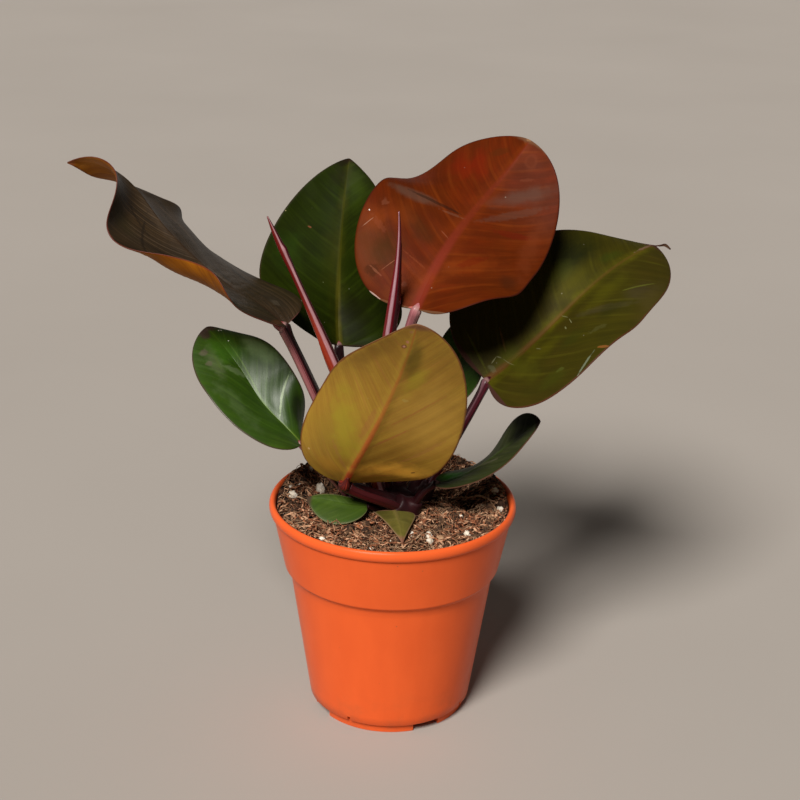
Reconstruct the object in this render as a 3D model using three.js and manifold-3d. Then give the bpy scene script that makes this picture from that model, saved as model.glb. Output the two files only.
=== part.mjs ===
// Potted imperial red philodendron: eight broad waxy leaves on grooved stalks, two rolled new leaves
// and two small low leaves, rising from one crown in a 12 cm round nursery pot filled with coir soil.
// Millimetres, +Z up. The origin is where the pot's axis meets the floor; the photo looks along +Y.
import * as THREE from "three";
import { mergeVertices } from "three/addons/utils/BufferGeometryUtils.js";
import Module from "manifold-3d";

const wasm = await Module();
wasm.setup();

// Pot: thin tapered wall, a wider band under a rolled lip, and a flat floor with raised drain gaps.
const POT_SEGMENTS = 52;
const POT_HEIGHT = 108.9;
const LIP_RADIUS = 60;
const BAND_TOP = { r: 58.2, z: 103.5 };
const BAND_FOOT = { r: 52.7, z: 76 };
const SHOULDER = { r: 50.4, z: 73.5 };
const WALL_TOP = { r: 49.6, z: 70 };
const WALL_FOOT = { r: 40.2, z: 4.8 };
const POT_WALL = 1.3;
const FLOOR_THICK = 1.6;
const FOOT_RADIUS = 38.2;
const FOOT_HEIGHT = 3.8;
const DRAIN_GAPS = 4;
const DRAIN_GAP_WIDTH = 14;
const DRAIN_GAP_INNER = 26;
const DRAIN_GAP_HEIGHT = 3.5;
const DRAIN_ROOF = 1.3;
const FIRST_GAP_ANGLE = 29;
const SLOT_ANGLE = 61;
const SLOT_WIDTH = 1.6;
const SLOT_LOW = 3.9;
const SLOT_HEIGHT = 2.8;

// Soil: lumpy, about 6 mm under the lip in front and heaped up against the lip at the sides and back.
const SOIL_LEVEL = 102.6;
const SOIL_HEAP = 8.6;
const HEAP_FOOT_RADIUS = 34;
const HEAP_TOP_RADIUS = 54;
// The heap grows along the rim between these shares of the way back from the pot's axis.
const HEAP_FROM = -0.45;
const HEAP_TO = 0.5;
const SOIL_SEGMENTS = 36;
const SOIL_RINGS = 7;
const SOIL_LUMP = 0.9;
const SEAT_GAP = 0.3;

// Crown: the thick sheathed feet of all stalks, grown together. A sheath is wider than its stalk.
const CROWN_FOOT_Z = 97;
const CROWN_CENTRE = { x: 0, y: 3 };
const CROWN_HALF_WIDTH = 15;
const CROWN_HALF_DEPTH = 10.5;
const CROWN_TOP = 114;
const SHEATH_FOOT_EXTRA = 2.3;
const SHEATH_TOP_EXTRA = 0.6;
const SHEATH_HEIGHT = 17;
const SHEATH_STEPS = 3;
const SHEATH_SIDES = 10;

// Leaf sheet.
const LEAF_THICKNESS = 0.8;
const RIB_HALF_WIDTH = 1.5;
const RIB_DEPTH = 0.8;
const BASE_HALF_WIDTH = 2;
const TIP_HALF_WIDTH = 0.45;
// Rows of a leaf that names none of its own.
const LEAF_ROWS = 16;
const SMALL_LEAF_ROWS = 9;
const RIB_STEPS = 48;
// Share of the half width at each column from the midrib to the margin; the first is the rib's edge.
const COLUMN_SHARES = [0, 0.1, 0.36, 0.62, 0.84, 1];

// A leaf's base, length and half widths are in mm and its angles in degrees. Heading, pitch and roll
// turn the midrib from base to tip; fold is the V of the two halves and curl bends each half up.
// A ripple lifts the margin at one place: side (1 left, -1 right), place and span along the leaf, mm.
// A dry tip continues past the end in steps measured from it.
const LEAVES = {
  far_left: {
    base: [-51.1, -10.9, 199.3],
    length: 126.5,
    left: 39.5,
    right: 49.5,
    lobe: 6.5,
    taper: 0.58,
    heading: [167, 172.5, 173.5, 176.5, 158, 179.5, 200],
    pitch: [43.5, 31, 39, 46.5, 50.5, 30.5, -10.5],
    roll: [3, 9, -6, -34, 2, 26, 58],
    fold: [28, 3, -12, -25, -33, -18, -23],
    curlLeft: [-31, 2, 79, 141, 40, 75, 136],
    curlRight: [-57, -5, -12, -43, 53, 61, 52],
    ripples: [],
    rows: 22,
    colour: 0x4a3a2a,
  },
  back: {
    base: [-28.4, 43, 171.4],
    length: 96.5,
    left: 41,
    right: 35.5,
    lobe: 10,
    taper: 0.37,
    heading: [98, 83, 82],
    pitch: [50, 70, 47],
    roll: [24, -11, 16],
    fold: [21, 21, 7],
    curlLeft: [8, 19, 10],
    curlRight: [18, 37, 7],
    ripples: [],
    colour: 0x2c4a16,
  },
  copper: {
    base: [9.3, -12, 209.3],
    length: 106.5,
    left: 44.5,
    right: 41,
    lobe: 11.5,
    taper: 0,
    heading: [57, 54, 27],
    pitch: [52, 29, 51],
    roll: [-1, 28, 22],
    fold: [14, -1, -12],
    curlLeft: [0, 0, 0],
    curlRight: [0, 0, 0],
    ripples: [
      { side: 1, at: 0.68, span: 0.137, lift: -19 },
      { side: -1, at: 0.23, span: 0.126, lift: -9 },
    ],
    colour: 0x7d2f14,
  },
  right: {
    base: [43.6, 7.4, 167.7],
    length: 114,
    left: 48.5,
    right: 43.5,
    lobe: 16.5,
    taper: 0.2,
    heading: [15, 24, 51],
    pitch: [34, 40, -3],
    roll: [22, 13, 9],
    fold: [17, 16, -10],
    curlLeft: [26, 5, 23],
    curlRight: [-10, -14, -25],
    ripples: [{ side: -1, at: 0.557, span: 0.083, lift: -3 }],
    dryTip: [
      { out: [2.5, 0.5, 0.2], halfWidth: 0.9 },
      { out: [5, 1, 0.3], halfWidth: 1 },
      { out: [8, 1.5, -2], halfWidth: 0.4 },
    ],
    colour: 0x3c3f1a,
  },
  front: {
    base: [-22.6, -15.8, 123.3],
    length: 114,
    left: 39.5,
    right: 31.5,
    lobe: 6,
    taper: 0.19,
    heading: [-78, -41, -74],
    pitch: [44, 63, 61],
    roll: [-10, -43, -10],
    fold: [14, 6, -1],
    curlLeft: [-28, -6, -5],
    curlRight: [8, 48, -10],
    ripples: [],
    colour: 0x8a7030,
  },
  low_left: {
    base: [-43.5, -14, 142],
    length: 75,
    left: 26.5,
    right: 20,
    lobe: 0.5,
    taper: 0.05,
    heading: [160, 146.5, 134, 142.5, 147.5],
    pitch: [45, 32, 40, 38, 35.5],
    roll: [2, -22, -6.5, -8, -8],
    fold: [10, 38, 29.5, 16, -9],
    curlLeft: [-57, -31, -31, -40, -36],
    curlRight: [-166, -49, 9.5, 2, -46],
    ripples: [],
    colour: 0x2f6a14,
  },
  low_right: {
    base: [20.5, -9, 120.8],
    length: 59.5,
    left: 18.5,
    right: 17.5,
    lobe: 1.5,
    taper: 0.06,
    heading: [1, 14, -12],
    pitch: [12, 35, 45],
    roll: [-5, -12, 23],
    fold: [5, -3, 16],
    curlLeft: [-4, -17, 18],
    curlRight: [-2, 0, 3],
    ripples: [],
    colour: 0x44522a,
  },
  inner: {
    base: [29.7, 26, 148.7],
    length: 45.5,
    left: 13.5,
    right: 12.5,
    lobe: 0.5,
    taper: 0.3,
    heading: [77, 84, 85],
    pitch: [44, 52, 57],
    roll: [-19, -6, 0],
    fold: [14, 9, 8],
    curlLeft: [5, 5, 5],
    curlRight: [12, 9, 5],
    ripples: [],
    colour: 0x2f6a14,
  },
};

// The two small low leaves come straight out of the crown's front.
const SMALL_LEAVES = {
  small_left: {
    base: [-12.4, -10, 108.8],
    length: 29.5,
    left: 11,
    right: 4.5,
    lobe: -5,
    taper: 0.25,
    heading: [189, 168, 170],
    pitch: [-4, 7, -1],
    roll: [-22, -28, -30],
    fold: [5, 5, 6],
    curlLeft: [-8, -11, -12],
    curlRight: [-13, -9, -11],
    ripples: [],
    colour: 0x2f6a14,
  },
  small_front: {
    base: [1.2, -13, 107.9],
    length: 26.5,
    left: 8.5,
    right: 8.5,
    lobe: 5.5,
    taper: 0.78,
    heading: [-85, -80, -82],
    pitch: [9, -8, -31],
    roll: [-3, -10, -4],
    fold: [-3, 0, -5],
    curlLeft: [-6, -6, -10],
    curlRight: [-3, -1, -9],
    ripples: [],
    colour: 0x55602a,
  },
};

// Each leaf's stalk: where it stands in the crown, how it arrives at the leaf, and its radii.
// The front leaf's stalk lies low across the crown and the low right one leans out beside it.
const STALKS = {
  far_left: { foot: [-9.8, 1], leave: [-0.42, -0.11, 1], arrive: [-0.38, -0.03, 0.8], wide: 4.3, narrow: 3.5 },
  back: { foot: [-5, 11], leave: [-0.4, 0.04, 1], arrive: [-0.1, 0.25, 0.96], wide: 3, narrow: 2.2 },
  copper: { foot: [3.5, 11], leave: [-0.03, -0.16, 1], arrive: [0.3, -0.33, 0.9], wide: 3, narrow: 2.6 },
  right: { foot: [11.5, 7.5], leave: [0.38, 0.09, 1], arrive: [0.4, 0.05, 0.91], wide: 3.2, narrow: 2.7 },
  front: { foot: [8.1, -5.4], leave: [0.15, -0.04, 1], arrive: [-0.67, -0.18, 0.54], wide: 4.9, narrow: 4.3 },
  low_left: { foot: [-13.5, 6], leave: [-0.78, -0.36, 1], arrive: [-0.66, -0.1, 0.74], wide: 2.8, narrow: 1.9 },
  low_right: { foot: [8, -5.5], leave: [0.1, -0.1, 1], arrive: [0.92, 0, 0.38], wide: 3.3, narrow: 2.1 },
  inner: { foot: [8, 14.5], leave: [0.17, 0.07, 1], arrive: [0.25, 0.45, 0.85], wide: 2.5, narrow: 1.8 },
};
// The small leaves' short stalks start in the crown and end in their leaf bases.
const SMALL_STALK_FEET = { small_left: [-4, -2, 103], small_front: [2, -3, 103] };
const SMALL_STALK_WIDE = 2.8;
const SMALL_STALK_NARROW = 1.5;
const STALK_SIDES = 12;
const STALK_STEPS = 10;
const JOINT_GAP = 0.5;
const JOINT_GAP_PER_LOBE = 0.03;

// Rolled new leaves: pointed tubes with the sheet's free edge as a low step along one side.
const SPEARS = {
  spear_left: {
    foot: [-2.6, -1.2],
    tip: [-58.9, -4, 249.6],
    leave: [-0.22, -0.09, 1],
    arrive: [-0.4, 0.04, 0.9],
    radii: [3, 3.1, 3.2, 3.3, 3.35, 3.35, 3.15, 2.65, 2, 1.7, 2, 0.4],
    colour: 0x8a2a22,
  },
  spear_centre: {
    foot: [2.2, 5.9],
    tip: [0.6, -20, 257.3],
    leave: [-0.44, -0.1, 1],
    arrive: [-0.07, -0.16, 1],
    radii: [3, 3.1, 3.2, 3.3, 3.4, 3.4, 3.4, 3.25, 2.95, 2, 1.2, 0.4],
    colour: 0x5c1424,
  },
};
const SPEAR_SIDES = 14;
const SPEAR_STEPS = 16;
const SEAM_STEP = 0.12;

const RED_STALK = 0x5c1a24;
const rad = THREE.MathUtils.degToRad;
const part = new THREE.Group();
part.name = "potted_philodendron";

// Repeatable noise in 0..1 for one whole number.
function noise(n) {
  const v = Math.sin(n * 127.1 + 11.7) * 43758.5453;
  return v - Math.floor(v);
}

function addMesh(name, geometry, colour, roughness) {
  const material = new THREE.MeshStandardMaterial({ color: colour, roughness, metalness: 0 });
  const mesh = new THREE.Mesh(geometry, material);
  mesh.name = name;
  part.add(mesh);
}

// A closed geometry as a solid that can be cut and joined.
function solidOf(geometry) {
  const bare = geometry.clone();
  bare.deleteAttribute("normal");
  bare.deleteAttribute("uv");
  const welded = mergeVertices(bare, 1e-4);
  const vertProperties = Float32Array.from(welded.attributes.position.array);
  const triVerts = Uint32Array.from(welded.index.array);
  return new wasm.Manifold(new wasm.Mesh({ numProp: 3, vertProperties, triVerts }));
}

function geometryOf(solid) {
  const mesh = solid.getMesh();
  const geometry = new THREE.BufferGeometry();
  geometry.setAttribute("position", new THREE.BufferAttribute(Float32Array.from(mesh.vertProperties), 3));
  geometry.setIndex(Array.from(mesh.triVerts));
  geometry.computeVertexNormals();
  return geometry;
}

// Closed mesh from rings of points, each ring counter-clockwise seen from the end of the row of rings.
function ringSkin(rings) {
  const sides = rings[0].length;
  const points = rings.flat();
  const index = [];
  for (let i = 0; i + 1 < rings.length; i += 1) {
    for (let j = 0; j < sides; j += 1) {
      const a = i * sides + j;
      const b = i * sides + ((j + 1) % sides);
      index.push(a, b, b + sides, a, b + sides, a + sides);
    }
  }
  const mean = (ring) => ring.reduce((sum, p) => sum.add(p), new THREE.Vector3()).divideScalar(sides);
  const foot = points.length;
  points.push(mean(rings[0]), mean(rings[rings.length - 1]));
  const last = (rings.length - 1) * sides;
  for (let j = 0; j < sides; j += 1) {
    const k = (j + 1) % sides;
    index.push(foot, k, j, foot + 1, last + j, last + k);
  }
  return pointsGeometry(points, index);
}

function pointsGeometry(points, index) {
  const geometry = new THREE.BufferGeometry().setFromPoints(points);
  geometry.setIndex(index);
  geometry.computeVertexNormals();
  return geometry;
}

// Smooth value at t (0 to 1) through evenly spaced values.
function along(values, t) {
  const n = values.length - 1;
  const place = THREE.MathUtils.clamp(t, 0, 1) * n;
  const i = Math.min(Math.floor(place), n - 1);
  const f = place - i;
  const before = i > 0 ? values[i - 1] : 2 * values[0] - values[1];
  const after = i + 2 <= n ? values[i + 2] : 2 * values[n] - values[n - 1];
  const b = values[i];
  const c = values[i + 1];
  const cubic = 3 * (b - c) + after - before;
  return b + 0.5 * f * (c - before + f * (2 * before - 5 * b + 4 * c - after + f * cubic));
}

// Direction along the midrib, across to the leaf's left, and up out of its face.
function leafAxes(leaf, t) {
  const heading = rad(along(leaf.heading, t));
  const pitch = rad(along(leaf.pitch, t));
  const roll = rad(along(leaf.roll, t));
  const level = Math.cos(pitch);
  const ahead = new THREE.Vector3(Math.cos(heading) * level, Math.sin(heading) * level, Math.sin(pitch));
  const left = new THREE.Vector3(-Math.sin(heading), Math.cos(heading), 0);
  const up = new THREE.Vector3().crossVectors(ahead, left);
  const rolledLeft = left.clone().multiplyScalar(Math.cos(roll)).addScaledVector(up, Math.sin(roll));
  const rolledUp = up.clone().multiplyScalar(Math.cos(roll)).addScaledVector(left, -Math.sin(roll));
  return { ahead, left: rolledLeft, up: rolledUp };
}

function midribPoints(leaf) {
  const points = [new THREE.Vector3(...leaf.base)];
  for (let k = 0; k < RIB_STEPS; k += 1) {
    const { ahead } = leafAxes(leaf, (k + 0.5) / RIB_STEPS);
    points.push(points[k].clone().addScaledVector(ahead, leaf.length / RIB_STEPS));
  }
  return points;
}

// Where a point of the flat leaf, x along the midrib and y out from it, lies in the bent leaf.
function bendPoint(leaf, rib, x, y, side) {
  const t = THREE.MathUtils.clamp(x / leaf.length, 0, 1);
  const k = Math.min(Math.floor(t * RIB_STEPS), RIB_STEPS - 1);
  const { ahead, left, up } = leafAxes(leaf, t);
  const point = rib[k].clone().lerp(rib[k + 1], t * RIB_STEPS - k);
  point.addScaledVector(ahead, Math.min(x, 0));
  const width = side > 0 ? leaf.left : leaf.right;
  const fold = rad(along(leaf.fold, t));
  const curlDegrees = along(side > 0 ? leaf.curlLeft : leaf.curlRight, t);
  const curl = Math.abs(curlDegrees) < 0.01 ? 1e-5 : rad(curlDegrees) / width;
  const turned = fold + curl * y;
  point.addScaledVector(left, (side * (Math.sin(turned) - Math.sin(fold))) / curl);
  point.addScaledVector(up, (Math.cos(fold) - Math.cos(turned)) / curl);
  for (const ripple of leaf.ripples) {
    if (ripple.side !== side) continue;
    const near = Math.exp(-(((t - ripple.at) / ripple.span) ** 2));
    const lift = ripple.lift * near * Math.min(1, y / width) ** 2;
    point.addScaledVector(up, lift * Math.cos(turned));
    point.addScaledVector(left, -side * lift * Math.sin(turned));
  }
  return point;
}

// The bent middle sheet as rows of points from base to tip, each row from the right to the left margin.
function leafSheet(leaf, rowCount) {
  const rib = midribPoints(leaf);
  const lean = leaf.taper / (1 + leaf.taper);
  const peak = Math.sqrt(1 - lean * lean) * ((1 + lean) / 2) ** leaf.taper;
  const rows = [];
  for (let i = 0; i <= rowCount; i += 1) {
    const angle = (Math.PI * i) / rowCount;
    const open = Math.max(0, (1 + Math.cos(angle)) / 2);
    const straight = (leaf.length * (1 - Math.cos(angle))) / 2;
    const belly = (Math.sin(angle) * open ** leaf.taper) / peak;
    const stem = BASE_HALF_WIDTH * open ** 3 + TIP_HALF_WIDTH;
    const row = [];
    for (let j = 1 - COLUMN_SHARES.length; j < COLUMN_SHARES.length; j += 1) {
      const side = j < 0 ? -1 : 1;
      const share = COLUMN_SHARES[Math.abs(j)];
      const halfWidth = (side > 0 ? leaf.left : leaf.right) * belly + stem;
      const ribEdge = Math.min(share * halfWidth, RIB_HALF_WIDTH * (0.3 + 0.7 * open));
      const y = Math.abs(j) === 1 ? ribEdge : share * halfWidth;
      const x = straight - leaf.lobe * Math.sin(angle) * open * share;
      row.push(bendPoint(leaf, rib, x, y, side));
    }
    rows.push(row);
  }
  const end = rib[RIB_STEPS];
  const across = leafAxes(leaf, 1).left;
  for (const step of leaf.dryTip ?? []) {
    const centre = end.clone().add(new THREE.Vector3(...step.out));
    const row = [];
    for (let j = 1 - COLUMN_SHARES.length; j < COLUMN_SHARES.length; j += 1) {
      const reach = Math.sign(j) * COLUMN_SHARES[Math.abs(j)] * step.halfWidth;
      row.push(centre.clone().addScaledVector(across, reach));
    }
    rows.push(row);
  }
  return rows;
}

// The sheet thickened to both sides along its own normals, with the midrib raised underneath.
function leafGeometry(leaf, rowCount, grow = 0) {
  const sheet = leafSheet(leaf, rowCount);
  const rows = sheet.length;
  const columns = sheet[0].length;
  const middle = (columns - 1) / 2;
  const top = [];
  const bottom = [];
  for (let i = 0; i < rows; i += 1) {
    for (let j = 0; j < columns; j += 1) {
      const ahead = sheet[Math.min(i + 1, rows - 1)][j].clone().sub(sheet[Math.max(i - 1, 0)][j]);
      const across = sheet[i][Math.min(j + 1, columns - 1)].clone().sub(sheet[i][Math.max(j - 1, 0)]);
      const normal = ahead.cross(across).normalize();
      const rib = j === middle ? RIB_DEPTH * (1 - i / (rows - 1)) : 0;
      top.push(sheet[i][j].clone().addScaledVector(normal, LEAF_THICKNESS / 2 + grow));
      bottom.push(sheet[i][j].clone().addScaledVector(normal, -LEAF_THICKNESS / 2 - rib - grow));
    }
  }
  const under = top.length;
  const index = [];
  for (let i = 0; i + 1 < rows; i += 1) {
    for (let j = 0; j + 1 < columns; j += 1) {
      const a = i * columns + j;
      const b = a + columns;
      index.push(a, b, b + 1, a, b + 1, a + 1);
      index.push(under + a, under + b + 1, under + b, under + a, under + a + 1, under + b + 1);
    }
  }
  const wall = (p, q) => index.push(p, under + p, under + q, p, under + q, q);
  for (let i = 0; i + 1 < rows; i += 1) {
    wall(i * columns, (i + 1) * columns);
    wall((i + 2) * columns - 1, (i + 1) * columns - 1);
  }
  for (let j = 0; j + 1 < columns; j += 1) {
    wall((rows - 1) * columns + j, (rows - 1) * columns + j + 1);
    wall(j + 1, j);
  }
  return pointsGeometry(top.concat(bottom), index);
}

// A tube along a curve; section(angle, t) gives the point's radius share and may flatten one side.
function tube(curve, steps, sides, radiusAt, section, facing) {
  const rings = [];
  for (let i = 0; i <= steps; i += 1) {
    const t = i / steps;
    const centre = curve.getPoint(t);
    const ahead = curve.getTangent(t);
    const across = new THREE.Vector3().crossVectors(ahead, facing).normalize();
    const out = new THREE.Vector3().crossVectors(across, ahead);
    const ring = [];
    for (let j = 0; j < sides; j += 1) {
      const [u, v] = section((2 * Math.PI * j) / sides);
      const radius = radiusAt(t);
      ring.push(centre.clone().addScaledVector(across, -u * radius).addScaledVector(out, v * radius));
    }
    rings.push(ring);
  }
  return ringSkin(rings);
}

const roundSection = (angle) => [Math.cos(angle), Math.sin(angle)];

// Stalk section: round below, with a shallow channel along the side that faces the plant's middle.
function stalkSection(angle) {
  const u = Math.cos(angle);
  const v = 0.88 * Math.sin(angle);
  const channel = 0.5 - 0.3 * (1 - Math.abs(u));
  return [u, Math.min(v, channel)];
}

// Rolled sheet section: the radius grows once around and drops back at the free edge.
function rolledSection(angle) {
  const share = 1 - SEAM_STEP + (SEAM_STEP * angle) / (2 * Math.PI);
  return [share * Math.cos(angle), share * Math.sin(angle)];
}

function growthCurve(foot, end, leave, arrive) {
  const start = new THREE.Vector3(foot[0], foot[1], CROWN_FOOT_Z + 1);
  const reach = start.distanceTo(end) / 3;
  const second = start.clone().addScaledVector(new THREE.Vector3(...leave).normalize(), reach);
  const third = end.clone().addScaledVector(new THREE.Vector3(...arrive).normalize(), -reach);
  return new THREE.CubicBezierCurve3(start, second, third, end);
}

const curves = {};
const stemRadii = {};
for (const [name, stalk] of Object.entries(STALKS)) {
  const arrive = new THREE.Vector3(...stalk.arrive).normalize();
  const gap = JOINT_GAP + JOINT_GAP_PER_LOBE * LEAVES[name].lobe;
  const end = new THREE.Vector3(...LEAVES[name].base).addScaledVector(arrive, -gap);
  curves[name] = growthCurve(stalk.foot, end, stalk.leave, stalk.arrive);
  stemRadii[name] = stalk.wide;
}
for (const [name, spear] of Object.entries(SPEARS)) {
  curves[name] = growthCurve(spear.foot, new THREE.Vector3(...spear.tip), spear.leave, spear.arrive);
  stemRadii[name] = spear.radii[0];
}

// Crown: one core, a sheath around each stalk's foot and the two short stalks of the small leaves.
// A positive grow makes the room kept around it.
function crownSolid(grow) {
  const core = new THREE.SphereGeometry(1, 16, 8);
  core.scale(CROWN_HALF_WIDTH + grow, CROWN_HALF_DEPTH + grow, CROWN_TOP - CROWN_FOOT_Z + grow);
  core.translate(CROWN_CENTRE.x, CROWN_CENTRE.y, CROWN_FOOT_Z);
  let solid = solidOf(core).trimByPlane([0, 0, 1], CROWN_FOOT_Z - grow);
  const facing = new THREE.Vector3(0, 1, 0);
  for (const [name, curve] of Object.entries(curves)) {
    const share = Math.min(0.5, SHEATH_HEIGHT / curve.getLength());
    const lower = [];
    for (let i = 0; i <= SHEATH_STEPS; i += 1) lower.push(curve.getPoint((share * i) / SHEATH_STEPS));
    const last = lower[SHEATH_STEPS];
    last.addScaledVector(last.clone().sub(lower[SHEATH_STEPS - 1]).normalize(), grow);
    lower[0].z = CROWN_FOOT_Z - grow;
    const path = new THREE.CatmullRomCurve3(lower);
    const narrowing = SHEATH_TOP_EXTRA - SHEATH_FOOT_EXTRA;
    const radiusAt = (t) => stemRadii[name] + SHEATH_FOOT_EXTRA + narrowing * t + grow;
    const sheath = tube(path, SHEATH_STEPS, SHEATH_SIDES, radiusAt, roundSection, facing);
    solid = solid.add(solidOf(sheath));
  }
  for (const [name, foot] of Object.entries(SMALL_STALK_FEET)) {
    const end = new THREE.Vector3(...SMALL_LEAVES[name].base);
    const path = new THREE.LineCurve3(new THREE.Vector3(...foot), end);
    const radiusAt = (t) => SMALL_STALK_WIDE + (SMALL_STALK_NARROW - SMALL_STALK_WIDE) * t + grow;
    solid = solid.add(solidOf(tube(path, 2, SHEATH_SIDES, radiusAt, roundSection, facing)));
  }
  return solid;
}

const crown = crownSolid(0);
const crownRoom = crownSolid(SEAT_GAP);
addMesh("crown", geometryOf(crown), 0x3a1016, 0.5);

// The room kept around the base of a leaf where its stalk arrives.
function leafRoom(leaf) {
  const ahead = leafAxes(leaf, 0).ahead;
  const base = new THREE.Vector3(...leaf.base).addScaledVector(ahead, -SEAT_GAP).toArray();
  const left = leaf.left + SEAT_GAP;
  const right = leaf.right + SEAT_GAP;
  const lobe = leaf.lobe + SEAT_GAP;
  return solidOf(leafGeometry({ ...leaf, base, left, right, lobe }, leaf.rows ?? LEAF_ROWS, SEAT_GAP));
}

// The largest body of what is left after a cut.
function largest(solid) {
  return solid.decompose().reduce((best, body) => (body.volume() > best.volume() ? body : best));
}

for (const [name, stalk] of Object.entries(STALKS)) {
  const radiusAt = (t) => stalk.wide + (stalk.narrow - stalk.wide) * t;
  const inward = new THREE.Vector3(-stalk.arrive[0], -stalk.arrive[1], 0).normalize();
  const whole = solidOf(tube(curves[name], STALK_STEPS, STALK_SIDES, radiusAt, stalkSection, inward));
  const seated = whole.subtract(crownRoom).subtract(leafRoom(LEAVES[name]));
  addMesh(`stalk_${name}`, geometryOf(largest(seated)), RED_STALK, 0.4);
}
for (const [name, spear] of Object.entries(SPEARS)) {
  const radiusAt = (t) => along(spear.radii, t);
  const facing = new THREE.Vector3(0, 1, 0);
  const shape = tube(curves[name], SPEAR_STEPS, SPEAR_SIDES, radiusAt, rolledSection, facing);
  addMesh(name, geometryOf(largest(solidOf(shape).subtract(crownRoom))), spear.colour, 0.35);
}
for (const [name, leaf] of Object.entries(LEAVES)) {
  addMesh(`leaf_${name}`, leafGeometry(leaf, leaf.rows ?? LEAF_ROWS), leaf.colour, 0.35);
}
for (const [name, leaf] of Object.entries(SMALL_LEAVES)) {
  const shape = largest(solidOf(leafGeometry(leaf, SMALL_LEAF_ROWS)).subtract(crownRoom));
  addMesh(`leaf_${name}`, geometryOf(shape), leaf.colour, 0.4);
}

// Inner wall of the pot, from the lip down to the floor.
const INNER_WALL = [
  new THREE.Vector2(BAND_TOP.r - POT_WALL, BAND_TOP.z + 1),
  new THREE.Vector2(BAND_FOOT.r - POT_WALL, BAND_FOOT.z),
  new THREE.Vector2(SHOULDER.r - POT_WALL, SHOULDER.z),
  new THREE.Vector2(WALL_TOP.r - POT_WALL, WALL_TOP.z),
  new THREE.Vector2(WALL_FOOT.r - POT_WALL, WALL_FOOT.z + POT_WALL),
];

function turned(profile, segments) {
  return solidOf(new THREE.LatheGeometry(profile, segments).rotateX(Math.PI / 2));
}

// A box that runs outward from the axis at an angle counted from the camera's side towards +X.
function radialBox(angle, inner, outer, width, low, height) {
  const box = new THREE.BoxGeometry(outer - inner, width, height);
  box.translate((inner + outer) / 2, 0, low + height / 2);
  box.rotateZ(rad(angle - 90));
  return solidOf(box);
}

const potProfile = [
  new THREE.Vector2(0, 0),
  new THREE.Vector2(FOOT_RADIUS, 0),
  new THREE.Vector2(FOOT_RADIUS, FOOT_HEIGHT),
  new THREE.Vector2(WALL_FOOT.r, WALL_FOOT.z),
  new THREE.Vector2(WALL_TOP.r, WALL_TOP.z),
  new THREE.Vector2(SHOULDER.r, SHOULDER.z),
  new THREE.Vector2(BAND_FOOT.r, BAND_FOOT.z),
  new THREE.Vector2(BAND_TOP.r, BAND_TOP.z),
  new THREE.Vector2(LIP_RADIUS - 0.5, BAND_TOP.z + 0.6),
  new THREE.Vector2(LIP_RADIUS, BAND_TOP.z + 2.4),
  new THREE.Vector2(LIP_RADIUS - 0.5, POT_HEIGHT - 0.9),
  new THREE.Vector2(LIP_RADIUS - 1.7, POT_HEIGHT),
  new THREE.Vector2(LIP_RADIUS - 2.9, POT_HEIGHT - 0.7),
  ...INNER_WALL,
  new THREE.Vector2(FOOT_RADIUS - POT_WALL, FOOT_HEIGHT + POT_WALL),
  new THREE.Vector2(FOOT_RADIUS - POT_WALL, FLOOR_THICK),
  new THREE.Vector2(0, FLOOR_THICK),
];
let pot = turned(potProfile, POT_SEGMENTS);
for (let k = 0; k < DRAIN_GAPS; k += 1) {
  const turn = (360 / DRAIN_GAPS) * k;
  const width = DRAIN_GAP_WIDTH + 2 * DRAIN_ROOF;
  const top = DRAIN_GAP_HEIGHT + DRAIN_ROOF;
  const inner = DRAIN_GAP_INNER - DRAIN_ROOF;
  pot = pot.add(radialBox(FIRST_GAP_ANGLE + turn, inner, FOOT_RADIUS - 1, width, 0, top));
}
for (let k = 0; k < DRAIN_GAPS; k += 1) {
  const turn = (360 / DRAIN_GAPS) * k;
  const gapAngle = FIRST_GAP_ANGLE + turn;
  const gapHeight = DRAIN_GAP_HEIGHT + 1;
  const slotAngle = SLOT_ANGLE + turn;
  const slotInner = FOOT_RADIUS - 3;
  pot = pot.subtract(radialBox(gapAngle, DRAIN_GAP_INNER, LIP_RADIUS, DRAIN_GAP_WIDTH, -1, gapHeight));
  pot = pot.subtract(radialBox(slotAngle, slotInner, LIP_RADIUS, SLOT_WIDTH, SLOT_LOW, SLOT_HEIGHT));
}
addMesh("pot", geometryOf(pot), 0xd2551f, 0.4);

// How far the soil is heaped above its level at a radius and an angle counted from +X.
function soilHeap(radius, angle) {
  const outward = THREE.MathUtils.smoothstep(radius, HEAP_FOOT_RADIUS, HEAP_TOP_RADIUS);
  return SOIL_HEAP * outward * THREE.MathUtils.smoothstep(Math.sin(angle), HEAP_FROM, HEAP_TO);
}

// Soil: follows the pot's inside with a small gap, lies on the drain roofs, and has a lumpy top.
const soilFoot = DRAIN_GAP_HEIGHT + DRAIN_ROOF + SEAT_GAP;
const soilWall = INNER_WALL.map((p) => new THREE.Vector2(p.x - SEAT_GAP, p.y));
const soilTopRadius = soilWall[0].x - (INNER_WALL[0].y - SOIL_LEVEL) * 0.2;
const soilRings = [];
const soilRing = (radius, heightAt) => {
  const ring = [];
  for (let j = 0; j < SOIL_SEGMENTS; j += 1) {
    const angle = (2 * Math.PI * j) / SOIL_SEGMENTS;
    ring.push(new THREE.Vector3(radius * Math.cos(angle), radius * Math.sin(angle), heightAt(j, angle)));
  }
  soilRings.push(ring);
};
soilRing(FOOT_RADIUS - POT_WALL - 2 * SEAT_GAP, () => soilFoot);
for (const p of soilWall.slice(1).reverse()) soilRing(p.x, () => Math.max(p.y, soilFoot));
soilRing(soilTopRadius, (j, angle) => SOIL_LEVEL - 1 + soilHeap(soilTopRadius, angle));
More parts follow.
